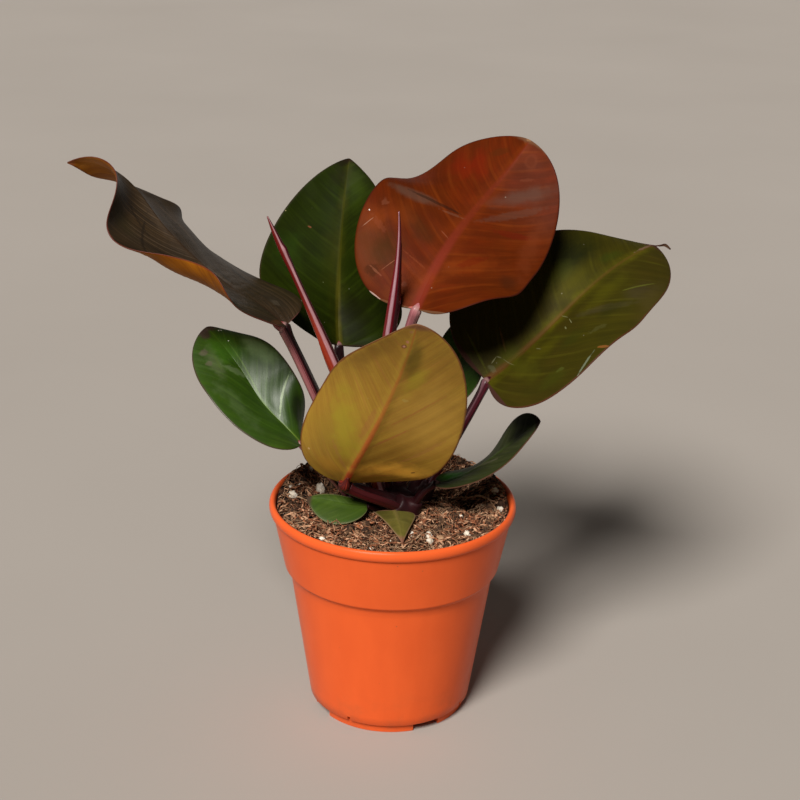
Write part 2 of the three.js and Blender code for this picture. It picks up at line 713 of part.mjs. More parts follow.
for (let i = SOIL_RINGS; i > 0; i -= 1) {
  const radius = (soilTopRadius * (i - 0.4)) / SOIL_RINGS;
  const lump = (j) => SOIL_LUMP * 2 * (noise(i * 53 + j) - 0.5);
  soilRing(radius, (j, angle) => SOIL_LEVEL + soilHeap(radius, angle) + lump(j));
}
const soil = solidOf(ringSkin(soilRings)).subtract(crownRoom);
addMesh("soil", geometryOf(largest(soil)), 0x4a3626, 0.95);

export default part;
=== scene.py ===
"""Looks of a potted imperial red philodendron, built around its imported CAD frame.

Sizes in the classes are millimetres and degrees, and colours are screen bytes. Meshes are made in metres.
"""
import logging
import math
from dataclasses import dataclass
from enum import Enum
from functools import cache

import bmesh
import bpy
import numpy as np
from mathutils import Matrix, Vector, noise


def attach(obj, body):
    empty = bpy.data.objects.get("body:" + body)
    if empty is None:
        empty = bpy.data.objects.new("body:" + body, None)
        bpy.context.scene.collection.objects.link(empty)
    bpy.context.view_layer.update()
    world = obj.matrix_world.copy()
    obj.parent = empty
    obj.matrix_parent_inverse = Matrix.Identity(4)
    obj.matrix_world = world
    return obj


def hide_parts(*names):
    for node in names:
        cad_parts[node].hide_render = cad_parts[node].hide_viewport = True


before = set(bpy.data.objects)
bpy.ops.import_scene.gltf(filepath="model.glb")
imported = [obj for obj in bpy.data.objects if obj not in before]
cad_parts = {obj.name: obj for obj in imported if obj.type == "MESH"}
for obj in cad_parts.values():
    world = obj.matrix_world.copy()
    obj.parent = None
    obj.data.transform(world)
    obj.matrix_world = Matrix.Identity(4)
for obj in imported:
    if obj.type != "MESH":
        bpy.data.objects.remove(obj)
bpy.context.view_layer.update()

MM = 0.001
Array = np.ndarray
Pair = tuple[float, float]
Point = tuple[float, float, float]
Colour = tuple[int, int, int]
Faces = list[tuple[int, ...]]
Piece = bpy.types.Object
Material = bpy.types.Material
Tree = bpy.types.NodeTree
Socket = bpy.types.NodeSocket
LOG = logging.getLogger("philodendron")


def linear(colour: Colour) -> Point:
    """Turn a colour in screen bytes into the linear one that shaders use."""
    shares = (byte / 255 for byte in colour)
    return tuple(s / 12.92 if s <= 0.04045 else ((s + 0.055) / 1.055) ** 2.4 for s in shares)


def unit(vectors: Array) -> Array:
    """Give vectors along the last axis a length of one."""
    return vectors / np.maximum(np.linalg.norm(vectors, axis=-1, keepdims=True), 1e-9)


def ease(value: Array, low: float, high: float) -> Array:
    """Rise smoothly from 0 at low to 1 at high."""
    share = np.clip((value - low) / (high - low), 0, 1)
    return share * share * (3 - 2 * share)


def hump(value: Array, width: float) -> Array:
    """Fall smoothly from 1 at zero to about a third at the width on both sides."""
    return np.exp(-((value / width) ** 2))


def along(values: tuple, t: Array) -> Array:
    """Read a smooth value through evenly spaced values.

    Args:
        values: The values at even steps from 0 to 1.
        t: Places from 0 to 1.

    Returns:
        The smooth values at those places.
    """
    v = np.asarray(values, float)
    n = len(v) - 1
    padded = np.concatenate([2 * v[:1] - v[1:2], v, 2 * v[-1:] - v[-2:-1]])
    place = np.clip(t, 0, 1) * n
    i = np.minimum(place.astype(int), n - 1)
    f = (place - i).reshape(place.shape + (1,) * (v.ndim - 1))
    a, b, c, d = (padded[i + k] for k in range(4))
    return b + 0.5 * f * (c - a + f * (2 * a - 5 * b + 4 * c - d + f * (3 * (b - c) + d - a)))


def grain(points: Array, size: float, seed: int, octaves: int = 3) -> Array:
    """Read smooth random values about -1 to 1.

    Args:
        points: Places, millimetres.
        size: Size of the largest lumps, millimetres.
        seed: Which pattern.
        octaves: How many finer layers are added.

    Returns:
        One value for each place.
    """
    shift = Vector((seed * 17.3, seed * 5.1, seed * 9.7))
    flat = points.reshape(-1, 3) / size
    read = [noise.fractal(Vector(p) + shift, 0.8, 2.1, octaves) for p in flat]
    return np.array(read).reshape(points.shape[:-1])


def circle(sides: int) -> Array:
    """List the angles of evenly spaced points on a circle."""
    return 2 * np.pi * np.arange(sides) / sides


def new_object(name: str, data: bpy.types.ID) -> Piece:
    """Make an object in the scene.

    Args:
        name: Its name.
        data: Its mesh, light or camera.

    Returns:
        The object.
    """
    made = bpy.data.objects.new(name, data)
    bpy.context.scene.collection.objects.link(made)
    return made


def store(mesh: bpy.types.Mesh, label: str, vectors: Array) -> None:
    """Store a vector on each vertex of a mesh."""
    layer = mesh.attributes.new(label, "FLOAT_VECTOR", "POINT")
    layer.data.foreach_set("vector", np.asarray(vectors, np.float32).ravel())


def make_piece(
    name: str,
    points: Array,
    faces: Faces,
    materials: list[Material],
    slots: list[int] | None = None,
    stored: dict[str, Array] | None = None,
) -> Piece:
    """Make a smooth mesh object that moves with the plant.

    Args:
        name: Name of the piece.
        points: Vertices, millimetres.
        faces: Vertex numbers of each face.
        materials: Materials of the piece.
        slots: Material number of each face.
        stored: Vectors stored on the vertices, by name.

    Returns:
        The new object.
    """
    mesh = bpy.data.meshes.new(name)
    mesh.from_pydata((np.asarray(points) * MM).tolist(), [], faces)
    mesh.polygons.foreach_set("use_smooth", np.ones(len(faces), bool))
    if slots is not None:
        mesh.polygons.foreach_set("material_index", np.asarray(slots, np.int32))
    for label, vectors in (stored or {}).items():
        store(mesh, label, vectors)
    for material in materials:
        mesh.materials.append(material)
    mesh.validate()
    mesh.update()
    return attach(new_object(name, mesh), "root")


def settle(piece: Piece) -> bpy.types.Mesh:
    """Turn a piece's modifiers into a smooth mesh of its own.

    Args:
        piece: The piece.

    Returns:
        Its new mesh.
    """
    bpy.context.view_layer.update()
    evaluated = piece.evaluated_get(bpy.context.evaluated_depsgraph_get())
    made = bpy.data.meshes.new_from_object(evaluated)
    piece.modifiers.clear()
    piece.data = made
    made.name = piece.name
    made.polygons.foreach_set("use_smooth", np.ones(len(made.polygons), bool))
    return made


def grid_faces(rows: int, columns: int, closed: bool = False, start: int = 0) -> Faces:
    """List the faces of a grid of points.

    Args:
        rows: Rows of points.
        columns: Points in a row.
        closed: Whether each row is a ring.
        start: Number of the first point.

    Returns:
        Four vertex numbers for each face.
    """
    faces = []
    for i in range(rows - 1):
        for j in range(columns if closed else columns - 1):
            a = start + i * columns + j
            b = start + i * columns + (j + 1) % columns
            faces.append((a, b, b + columns, a + columns))
    return faces


def drum_faces(rows: int, columns: int, start: int = 0) -> Faces:
    """List the faces of a row of rings, with a flat face at both ends.

    Args:
        rows: How many rings.
        columns: Points in a ring.
        start: Number of the first point.

    Returns:
        The vertex numbers of each face.
    """
    last = start + (rows - 1) * columns
    ends = [tuple(range(start, start + columns))[::-1], tuple(range(last, last + columns))]
    return grid_faces(rows, columns, closed=True, start=start) + ends


class Nodes:
    """Adds nodes and links to one node tree."""

    def __init__(self, tree: Tree) -> None:
        """Keep the tree to add to."""
        self.tree = tree

    def feed(self, socket: Socket, value: object) -> None:
        """Link a socket to another, or set its own value.

        Args:
            socket: The input to fill.
            value: A socket, a number, a vector or a colour.
        """
        if isinstance(value, Socket):
            self.tree.links.new(value, socket)
        elif socket.type == "RGBA":
            socket.default_value = (*linear(value), 1)
        else:
            socket.default_value = value

    def add(self, kind: str, inputs: dict | None = None, **settings: object) -> bpy.types.Node:
        """Add a node.

        Args:
            kind: Blender's name of the node.
            inputs: Values or sockets for its inputs, by name or number.
            settings: The node's own options.

        Returns:
            The node.
        """
        node = self.tree.nodes.new(kind)
        for key, value in settings.items():
            setattr(node, key, value)
        for key, value in (inputs or {}).items():
            self.feed(node.inputs[key], value)
        return node

    def math(self, operation: str, *values: object) -> Socket:
        """Add a Math node and return its result."""
        return self.add("ShaderNodeMath", dict(enumerate(values)), operation=operation).outputs[0]

    def times(self, first: object, second: object) -> Socket:
        """Multiply two numbers."""
        return self.math("MULTIPLY", first, second)

    def plus(self, first: object, second: object) -> Socket:
        """Add two numbers."""
        return self.math("ADD", first, second)

    def minus(self, first: object, second: object) -> Socket:
        """Take the second number from the first."""
        return self.math("SUBTRACT", first, second)

    def scaled(self, value: object, factor: object, offset: object) -> Socket:
        """Multiply a number by a factor and add an offset."""
        return self.math("MULTIPLY_ADD", value, factor, offset)

    def step(self, value: object, low: object, high: object, start: float = 0, end: float = 1) -> Socket:
        """Rise smoothly from start at low to end at high."""
        inputs = {0: value, 1: low, 2: high, 3: start, 4: end}
        return self.add("ShaderNodeMapRange", inputs, interpolation_type="SMOOTHSTEP").outputs[0]

    def mix(self, share: object, first: object, second: object) -> Socket:
        """Mix two colours, the second by its share."""
        inputs = {0: share, 6: first, 7: second}
        return self.add("ShaderNodeMix", inputs, data_type="RGBA").outputs[2]

    def paint(self, colour: object, other: object, mask: object, share: object) -> Socket:
        """Lay another colour over a colour, where a mask shows it and by a share."""
        return self.mix(self.times(mask, share), colour, other)

    def noise(self, vector: object, scale: object, detail: float = 3, rough: float = 0.5) -> Socket:
        """Read a noise texture, about 0 to 1."""
        inputs = {"Vector": vector, "Scale": scale, "Detail": detail, "Roughness": rough}
        return self.add("ShaderNodeTexNoise", inputs).outputs[0]

    def spots(self, vector: object, scale: float) -> tuple[Socket, Socket]:
        """Read random cells: distance from each cell's middle, and a random value of the cell."""
        node = self.add("ShaderNodeTexVoronoi", {"Vector": vector, "Scale": scale})
        return node.outputs["Distance"], self.split(node.outputs["Color"])[0]

    def split(self, vector: object) -> tuple[Socket, ...]:
        """Split a vector into its three numbers."""
        return tuple(self.add("ShaderNodeSeparateXYZ", {0: vector}).outputs)

    def join(self, x: object, y: object, z: object = 0.0) -> Socket:
        """Make a vector from three numbers."""
        return self.add("ShaderNodeCombineXYZ", {0: x, 1: y, 2: z}).outputs[0]

    def read(self, attribute: str) -> Socket:
        """Read a vector stored on the mesh."""
        return self.add("ShaderNodeAttribute", attribute_name=attribute).outputs["Vector"]

    def place(self) -> Socket:
        """Read the surface's place in the object, metres."""
        return self.add("ShaderNodeTexCoord").outputs["Object"]

    def shifted_place(self, seed: object, step: float) -> Socket:
        """Read the surface's place, moved sideways by a step for each seed."""
        x, y, z = self.split(self.place())
        return self.join(self.plus(x, self.times(seed, step)), y, z)

    def lines(self, count: object, spacing: object, width: object) -> Socket:
        """Draw thin lines where a count of spacings passes whole numbers.

        Args:
            count: The count.
            spacing: Distance between two lines.
            width: Width of a line.

        Returns:
            1 on the lines and 0 between them.
        """
        part = self.math("FRACT", count)
        near = self.minus(0.5, self.math("ABSOLUTE", self.minus(part, 0.5)))
        return self.step(self.times(near, spacing), self.times(width, 0.3), self.times(width, 1.6), 1, 0)

    def group(self, tree: Tree, **inputs: object) -> dict[str, Socket]:
        """Place a node group; underscores in the input names stand for spaces.

        Args:
            tree: The group.
            inputs: Values or sockets for its inputs.

        Returns:
            The group's outputs by name.
        """
        node = self.add("ShaderNodeGroup", node_tree=tree)
        for key, value in inputs.items():
            self.feed(node.inputs[key.replace("_", " ")], value)
        return {socket.name: socket for socket in node.outputs}

    def bump(self, shader: bpy.types.Node, height: Socket, depth: float) -> None:
        """Raise a shader's surface by a height from 0 to 1; the depth in millimetres stands for 1."""
        made = self.add("ShaderNodeBump", {"Height": height, "Distance": depth * MM, "Strength": 1.0})
        self.feed(shader.inputs["Normal"], made.outputs[0])


class GroupMaker:
    """Makes a shader node group with named sockets."""

    def __init__(self, name: str, inputs: dict[str, float], outputs: tuple[str, ...]) -> None:
        """Make the empty group.

        Args:
            name: Name of the group.
            inputs: Numbers that go in, with their usual values.
            outputs: Names of the numbers that come out.
        """
        self.tree = bpy.data.node_groups.new(name, "ShaderNodeTree")
        for label, value in inputs.items():
            made = self.tree.interface.new_socket(label, in_out="INPUT", socket_type="NodeSocketFloat")
            made.default_value = value
        for label in outputs:
            self.tree.interface.new_socket(label, in_out="OUTPUT", socket_type="NodeSocketFloat")
        self.nodes = Nodes(self.tree)
        self.inputs = self.nodes.add("NodeGroupInput").outputs
        self.ends = self.nodes.add("NodeGroupOutput").inputs

    def give(self, **results: Socket) -> Tree:
        """Link the results to the outputs.

        Args:
            results: A socket for each output, by its name.

        Returns:
            The finished group.
        """
        for label, socket in results.items():
            self.nodes.feed(self.ends[label], socket)
        return self.tree


@cache
def veins_group() -> Tree:
    """Make the leaf pattern: midrib, side veins and fine streaks between them.

    Returns:
        The group.
    """
    made = GroupMaker(
        "LeafVeins",
        {"Spacing": 12, "Vein Width": 0.5, "Rib Width": 1.5},
        ("Midrib", "Beside", "Laterals", "Bands", "Streaks", "Fine"),
    )
    n = made.nodes
    spacing, vein = made.inputs["Spacing"], made.inputs["Vein Width"]
    phase, across, _ = n.split(n.read("leaf_flow"))
    share, t, _ = n.split(n.read("leaf_place"))
    out = n.math("ABSOLUTE", across)
    rib = n.times(made.inputs["Rib Width"], n.minus(1.0, n.times(t, 0.78)))
    midrib = n.step(out, n.times(rib, 0.4), n.times(rib, 1.6), 1, 0)
    midrib = n.times(midrib, n.step(t, 0.1, 0.65, 1, 0.32))
    beside = n.step(out, rib, n.scaled(rib, 4.0, 1.5), 1, 0)
    count = n.math("DIVIDE", phase, spacing)
    minor = n.times(n.lines(n.plus(count, 0.5), spacing, n.times(vein, 0.7)), 0.45)
    fade = n.step(n.math("ABSOLUTE", share), 0.5, 1.0, 1, 0.12)
    clear = n.step(n.noise(n.join(n.times(phase, 0.11), n.times(share, 1.4)), 1.0, 1), 0.36, 0.62)
    laterals = n.times(n.math("MAXIMUM", n.lines(count, spacing, vein), minor), fade)
    laterals = n.times(laterals, n.scaled(clear, 0.85, 0.15))
    bands = n.noise(n.join(n.times(phase, 0.17), n.times(across, 0.05)), 1.0, 3, 0.55)
    streaks = n.noise(n.join(n.times(phase, 0.9), n.times(across, 0.045)), 1.0, 4, 0.6)
    fine = n.noise(n.join(n.times(phase, 2.6), n.times(across, 0.06)), 1.0, 2, 0.5)
    return made.give(Midrib=midrib, Beside=beside, Laterals=laterals, Bands=bands, Streaks=streaks, Fine=fine)


@cache
def edges_group() -> Tree:
    """Make the leaf's margin and tip masks.

    Returns:
        The group.
    """
    made = GroupMaker("LeafEdges", {"Margin Width": 0.6, "Tip Length": 5}, ("Margin", "Tip"))
    n = made.nodes
    _, t, edge = n.split(n.read("leaf_place"))
    flow = n.read("leaf_flow")
    _, _, x = n.split(flow)
    uneven = n.noise(flow, 0.12, 2)
    width = n.times(made.inputs["Margin Width"], n.scaled(uneven, 1.2, 0.4))
    margin = n.step(edge, n.times(width, 0.5), n.times(width, 1.5), 1, 0)
    left = n.math("DIVIDE", n.times(x, n.minus(1.0, t)), n.math("MAXIMUM", t, 0.05))
    reach = n.times(made.inputs["Tip Length"], n.scaled(uneven, 1.6, 0.2))
    return made.give(Margin=margin, Tip=n.step(left, n.times(reach, 0.3), reach, 1, 0))


@cache
def mottle_group() -> Tree:
    """Make broad blotches and a fine pebbled grain over a surface.

    Returns:
        The group.
    """
    inputs = {"Blotch Size": 30, "Grain Size": 0.8, "Seed": 0}
    made = GroupMaker("Mottle", inputs, ("Blotches", "Clouds", "Grain"))
    n = made.nodes
    spot = n.shifted_place(made.inputs["Seed"], 0.37)
    blotch = n.math("DIVIDE", 1 / MM, made.inputs["Blotch Size"])
    pebble = n.math("DIVIDE", 1 / MM, made.inputs["Grain Size"])
    blotches = n.step(n.noise(spot, blotch, 3, 0.55), 0.35, 0.65)
    clouds = n.noise(spot, n.times(blotch, 3.1), 4, 0.6)
    return made.give(Blotches=blotches, Clouds=clouds, Grain=n.noise(spot, pebble, 2, 0.6))


@cache
def marks_group() -> Tree:
    """Make dust specks and thin scratches.

    Returns:
        The group.
    """
    made = GroupMaker("Marks", {"Specks": 0.5, "Scratches": 0.5, "Seed": 0}, ("Specks", "Scratches"))
    n = made.nodes
    spot = n.shifted_place(made.inputs["Seed"], 0.71)
    near, kind = n.spots(spot, 260)
    rare = n.step(kind, n.minus(1.0, n.times(made.inputs["Specks"], 0.12)), 1.0)
    specks = n.times(n.step(near, 0.04, 0.13, 1, 0), rare)
    warp = {0: spot, 1: n.join(n.noise(spot, 60), n.noise(spot, 71)), 2: (0.02, 0.02, 0.02)}
    bent = n.add("ShaderNodeVectorMath", warp, operation="MULTIPLY_ADD").outputs[0]
    cells = {"Vector": bent, "Scale": 70.0}
    crack = n.add("ShaderNodeTexVoronoi", cells, feature="DISTANCE_TO_EDGE").outputs[0]
    some = n.step(n.noise(spot, 38, 2), n.minus(0.78, n.times(made.inputs["Scratches"], 0.2)), 0.8)
    return made.give(Specks=specks, Scratches=n.times(n.step(crack, 0.004, 0.014, 1, 0), some))


@cache
def patch_group() -> Tree:
    """Make one ragged oval patch at a place on a leaf.

    Returns:
        The group.
    """
    inputs = {"Ahead": 0, "Out": 0, "Length": 5, "Width": 3, "Turn": 0, "Ragged": 0.3}
    made = GroupMaker("LeafPatch", inputs, ("Mask",))
    n = made.nodes
    _, across, x = n.split(n.read("leaf_flow"))
    ahead = n.minus(x, made.inputs["Ahead"])
    out = n.minus(across, made.inputs["Out"])
    c, s = n.math("COSINE", made.inputs["Turn"]), n.math("SINE", made.inputs["Turn"])
    u = n.scaled(ahead, c, n.times(out, s))
    v = n.scaled(out, c, n.times(n.times(ahead, s), -1.0))
    long = n.math("POWER", n.math("DIVIDE", u, made.inputs["Length"]), 2.0)
    wide = n.math("POWER", n.math("DIVIDE", v, made.inputs["Width"]), 2.0)
    soft = n.step(made.inputs["Width"], 0.9, 6.0)
    small = n.noise(n.join(x, across), 0.45, 4, 0.6)
    broad = n.noise(n.join(x, across), 0.14, 4, 0.55)
    uneven = n.minus(n.scaled(n.minus(broad, small), soft, small), 0.5)
    away = n.scaled(uneven, n.times(made.inputs["Ragged"], 3.0), n.math("SQRT", n.plus(long, wide)))
    return made.give(Mask=n.step(away, n.scaled(soft, -0.6, 0.72), n.scaled(soft, 0.2, 1.12), 1, 0))


@cache
def stem_group() -> Tree:
    """Make streaks that run along a stem from the coordinates stored on it.

    Returns:
        The group.
    """
    made = GroupMaker("StemStreaks", {"Around": 5, "Along": 0.05}, ("Streaks", "Fine", "Length", "Turn"))
    n = made.nodes
    turn, length, _ = n.split(n.read("stem_flow"))
    angle = n.times(turn, math.tau)
    round_x = n.times(n.math("COSINE", angle), made.inputs["Around"])
    round_y = n.times(n.math("SINE", angle), made.inputs["Around"])
    spot = n.join(round_x, round_y, n.times(length, made.inputs["Along"]))
    streaks, fine = n.noise(spot, 1.0, 4, 0.6), n.noise(spot, 4.0, 3, 0.6)
    return made.give(Streaks=streaks, Fine=fine, Length=length, Turn=turn)


def new_material(name: str, shine: dict[str, float]) -> tuple[Material, Nodes, bpy.types.Node]:
    """Make a material with one Principled shader.

    Args:
        name: Name of the material.
        shine: The shader's constant values by socket name.

    Returns:
        The material, its nodes and the shader.
    """
    material = bpy.data.materials.new(name)
    material.use_nodes = True
    shader = material.node_tree.nodes["Principled BSDF"]
    for label, value in shine.items():
        shader.inputs[label].default_value = value
    return material, Nodes(material.node_tree), shader


@dataclass(frozen=True)
class Sight:
    """The photograph's view: where the camera stands, what it points at, and its frame."""

    distance: float = 760.0
    elevation: float = 21.6
    roll: float = 1.1
    aim: Point = (2.6, 0, 160)
    lens: float = 72.0
    sensor: float = 36.0
    pixels: float = 800.0

    def pixels_of(self, points: Array) -> tuple[Array, Array]:
        """Find where points of the plant show in the photograph.

        Args:
            points: The points, millimetres.

        Returns:
            Their pixels, and how far they are from the camera.
        """
        rise, roll = math.radians(self.elevation), math.radians(self.roll)
        ahead = np.array([0, math.cos(rise), -math.sin(rise)])
        level = np.array([1.0, 0, 0])
        upright = np.cross(level, ahead)
        right = math.cos(roll) * level + math.sin(roll) * upright
        up = math.cos(roll) * upright - math.sin(roll) * level
        offset = points - (np.array(self.aim) - self.distance * ahead)
        scale = self.pixels * self.lens / self.sensor / (offset @ ahead)
        pixels = self.pixels / 2 + np.stack([scale * (offset @ right), -scale * (offset @ up)], -1)
        return pixels, np.linalg.norm(offset, axis=1)


SIGHT = Sight()


@dataclass(frozen=True)
class Mark:
    """A spot, scar, worn or tinted area, or a painted sheen, highlight, shade or shadow, as the photograph
    shows it.

    Its two ends are pixels of the photograph, and its width is half of the real one in millimetres. The share
    says how strongly its colour shows, ragged how uneven its outline is, and dull how much rougher it is.
    """

    start: Pair
    end: Pair
    width: float
    colour: Colour
    share: float = 0.4
    ragged: float = 0.5
    dull: float = 0.0


@dataclass(frozen=True)
class Patch:
    """A mark laid on the flat leaf: its middle, half length and turn, in millimetres and radians."""

    mark: Mark
    ahead: float
    out: float
    length: float
    turn: float


@dataclass(frozen=True)
class LeafFinish:
    """Waxy leaf skin: colours, how strong the veins show, and its gloss."""

    blade: Colour
    deep: Colour
    flush: Colour
    midrib: Colour
    beside: Colour
    vein: Colour
    margin: Colour
    tip: Colour
    dust: Colour = (205, 195, 175)
    spacing: float = 12
    rib_width: float = 1.3
    vein_width: float = 0.85
    blotch_size: float = 34.0
    pebble_size: float = 0.7
    vein_share: float = 0.35
    beside_share: float = 0.6
    streak_share: float = 0.35
    flush_share: float = 0.5
    band_share: float = 0.5
    roughness: float = 0.42
    sheen: float = 0.2
    wear: float = 0.3
    relief: float = 0.075
    tip_length: float = 4
    margin_width: float = 0.6

    def build(self, name: str, seed: int, patches: tuple[Patch, ...]) -> Material:
        """Make the material.

        Args:
            name: Name of the material.
            seed: Which pattern of blotches and wear.
            patches: Marks at their own places.

        Returns:
            The material.
        """
        material, n, shader = new_material(name, {"IOR": 1.45, "Specular IOR Level": self.sheen})
        veins = n.group(
            veins_group(), Spacing=self.spacing, Vein_Width=self.vein_width, Rib_Width=self.rib_width
        )
        edges = n.group(edges_group(), Margin_Width=self.margin_width, Tip_Length=self.tip_length)
        mottle = n.group(mottle_group(), Blotch_Size=self.blotch_size, Grain_Size=self.pebble_size, Seed=seed)
        marks = n.group(marks_group(), Specks=self.wear, Scratches=self.wear, Seed=seed)
        near = n.times(veins["Beside"], n.step(mottle["Clouds"], 0.25, 0.6, 1, 0.35))
        pale = n.math("MAXIMUM", marks["Specks"], n.times(marks["Scratches"], 0.6))
        colour = self.blade
        for other, mask, share in (
            (self.flush, mottle["Blotches"], self.flush_share),
            (self.deep, n.step(veins["Streaks"], 0.35, 0.7), self.streak_share),
            (self.deep, n.step(veins["Bands"], 0.36, 0.62), self.band_share),
            (self.beside, near, self.beside_share),
            (self.vein, veins["Laterals"], self.vein_share),
            (self.deep, n.step(mottle["Clouds"], 0.4, 0.75), 0.35),
            (self.deep, n.step(veins["Fine"], 0.45, 0.7), 0.2),
            (self.midrib, veins["Midrib"], 0.9),
            (self.margin, edges["Margin"], 0.8),
            (self.tip, edges["Tip"], 1.0),
            (self.dust, pale, self.wear),
        ):
            colour = n.paint(colour, other, mask, share)
        rough = n.scaled(mottle["Clouds"], 0.16, self.roughness - 0.08)
        for patch in patches:
            mark = patch.mark
            mask = n.group(
                patch_group(), Ahead=patch.ahead, Out=patch.out, Length=patch.length, Width=mark.width,
                Turn=patch.turn, Ragged=mark.ragged,
            )["Mask"]
            mask = n.times(mask, mark.share)
            colour = n.mix(mask, colour, mark.colour)
            rough = n.scaled(mask, mark.dull, rough)
        n.feed(shader.inputs["Base Color"], colour)
        rough = n.plus(rough, n.times(edges["Tip"], 0.25))
        n.feed(shader.inputs["Roughness"], n.plus(rough, n.times(veins["Fine"], 0.06)))
        height = n.plus(n.times(veins["Fine"], 0.45), n.times(veins["Streaks"], 0.5))
        height = n.plus(height, n.times(mottle["Grain"], 0.12))
        n.bump(shader, n.minus(height, n.times(veins["Laterals"], 0.3)), self.relief)
        return material


class LeafKind(Enum):
    """The leaves by how they are coloured."""

    COPPER = "copper"
    DARK = "dark"
    BROWN = "brown"
    GREEN = "green"
    OLIVE = "olive"
    YOUNG = "young"
    SPROUT = "sprout"
    DUSK = "dusk"


# The colours are blade, deep, flush, midrib, beside, vein, margin and tip.
UPPER = {
    LeafKind.COPPER: LeafFinish(
        (92, 36, 6), (68, 24, 4), (98, 25, 4), (114, 40, 26), (110, 44, 8), (124, 56, 14), (62, 24, 16),
        (100, 66, 44), vein_share=0.3, rib_width=2.7, tip_length=2.5, spacing=11.5, sheen=0.05, roughness=0.5,
    ),
    LeafKind.DARK: LeafFinish(
        (57, 52, 7), (40, 37, 5), (56, 43, 12), (94, 62, 28), (86, 82, 10), (78, 74, 15), (80, 38, 26),
        (62, 38, 30), rib_width=2.1, sheen=0.08, roughness=0.48, beside_share=0.75, band_share=0.3,
    ),
    LeafKind.BROWN: LeafFinish(
        (64, 46, 24), (20, 14, 7), (56, 42, 22), (48, 32, 18), (66, 49, 30), (92, 74, 54), (92, 36, 24),
        (84, 46, 38), streak_share=0.9, spacing=5, vein_share=0.45, sheen=0.42, relief=0.2,
    ),
    LeafKind.GREEN: LeafFinish(
        (34, 46, 3), (20, 26, 2), (30, 34, 5), (76, 72, 16), (56, 56, 7), (50, 64, 9), (44, 34, 16),
        (40, 30, 18), rib_width=1.8, sheen=0.06, roughness=0.48,
    ),
    LeafKind.OLIVE: LeafFinish(
        (96, 90, 38), (70, 66, 27), (104, 90, 42), (110, 98, 50), (106, 100, 42), (112, 106, 52),
        (120, 96, 70), (120, 80, 62), rib_width=1.1,
    ),
    LeafKind.YOUNG: LeafFinish(
        (50, 80, 9), (30, 52, 5), (42, 66, 8), (92, 116, 36), (58, 88, 12), (70, 100, 26), (62, 46, 30),
        (62, 46, 32), rib_width=0.7, vein_share=0.3, spacing=9, roughness=0.4, sheen=0.6,
    ),
    LeafKind.SPROUT: LeafFinish(
        (58, 82, 12), (38, 58, 9), (62, 74, 20), (62, 84, 18), (64, 88, 18), (78, 96, 34), (92, 92, 56),
        (62, 46, 32), rib_width=0.7, vein_share=0.3, spacing=9, roughness=0.46, sheen=0.3,
    ),
    LeafKind.DUSK: LeafFinish(
        (50, 58, 22), (28, 34, 10), (54, 54, 24), (66, 84, 26), (54, 72, 22), (66, 74, 34), (84, 52, 42),
        (40, 28, 20), rib_width=0.5, vein_share=0.3, spacing=8, sheen=0.08, roughness=0.5,
    ),
}
UNDER = {
    LeafKind.OLIVE: LeafFinish(
        (158, 122, 43), (136, 98, 34), (164, 136, 44), (178, 64, 36), (160, 132, 44), (164, 104, 56),
        (96, 42, 30), (120, 80, 50), rib_width=1.5, vein_share=0.25, streak_share=0.5, roughness=0.5,
        wear=0.2, margin_width=0.8, spacing=11,
    ),
    LeafKind.BROWN: LeafFinish(
        (146, 86, 10), (104, 54, 8), (156, 100, 18), (142, 74, 30), (146, 92, 22), (164, 108, 36),
        (92, 36, 20), (138, 82, 50), streak_share=0.5, roughness=0.55, spacing=9, sheen=0.08,
    ),
    LeafKind.COPPER: LeafFinish(
        (112, 46, 24), (84, 31, 17), (104, 37, 26), (146, 54, 44), (120, 54, 30), (134, 70, 42), (70, 28, 22),
        (96, 62, 46), roughness=0.48,
    ),
    LeafKind.GREEN: LeafFinish(
        (82, 90, 34), (62, 70, 26), (92, 86, 36), (136, 74, 48), (100, 98, 40), (104, 108, 48), (84, 50, 36),
        (84, 60, 42), roughness=0.5,
    ),
}


@dataclass(frozen=True)
class Ripple:
    """A place where the margin is lifted: side (1 left, -1 right), place and span along the leaf."""

    side: int
    at: float
    span: float
    lift: float


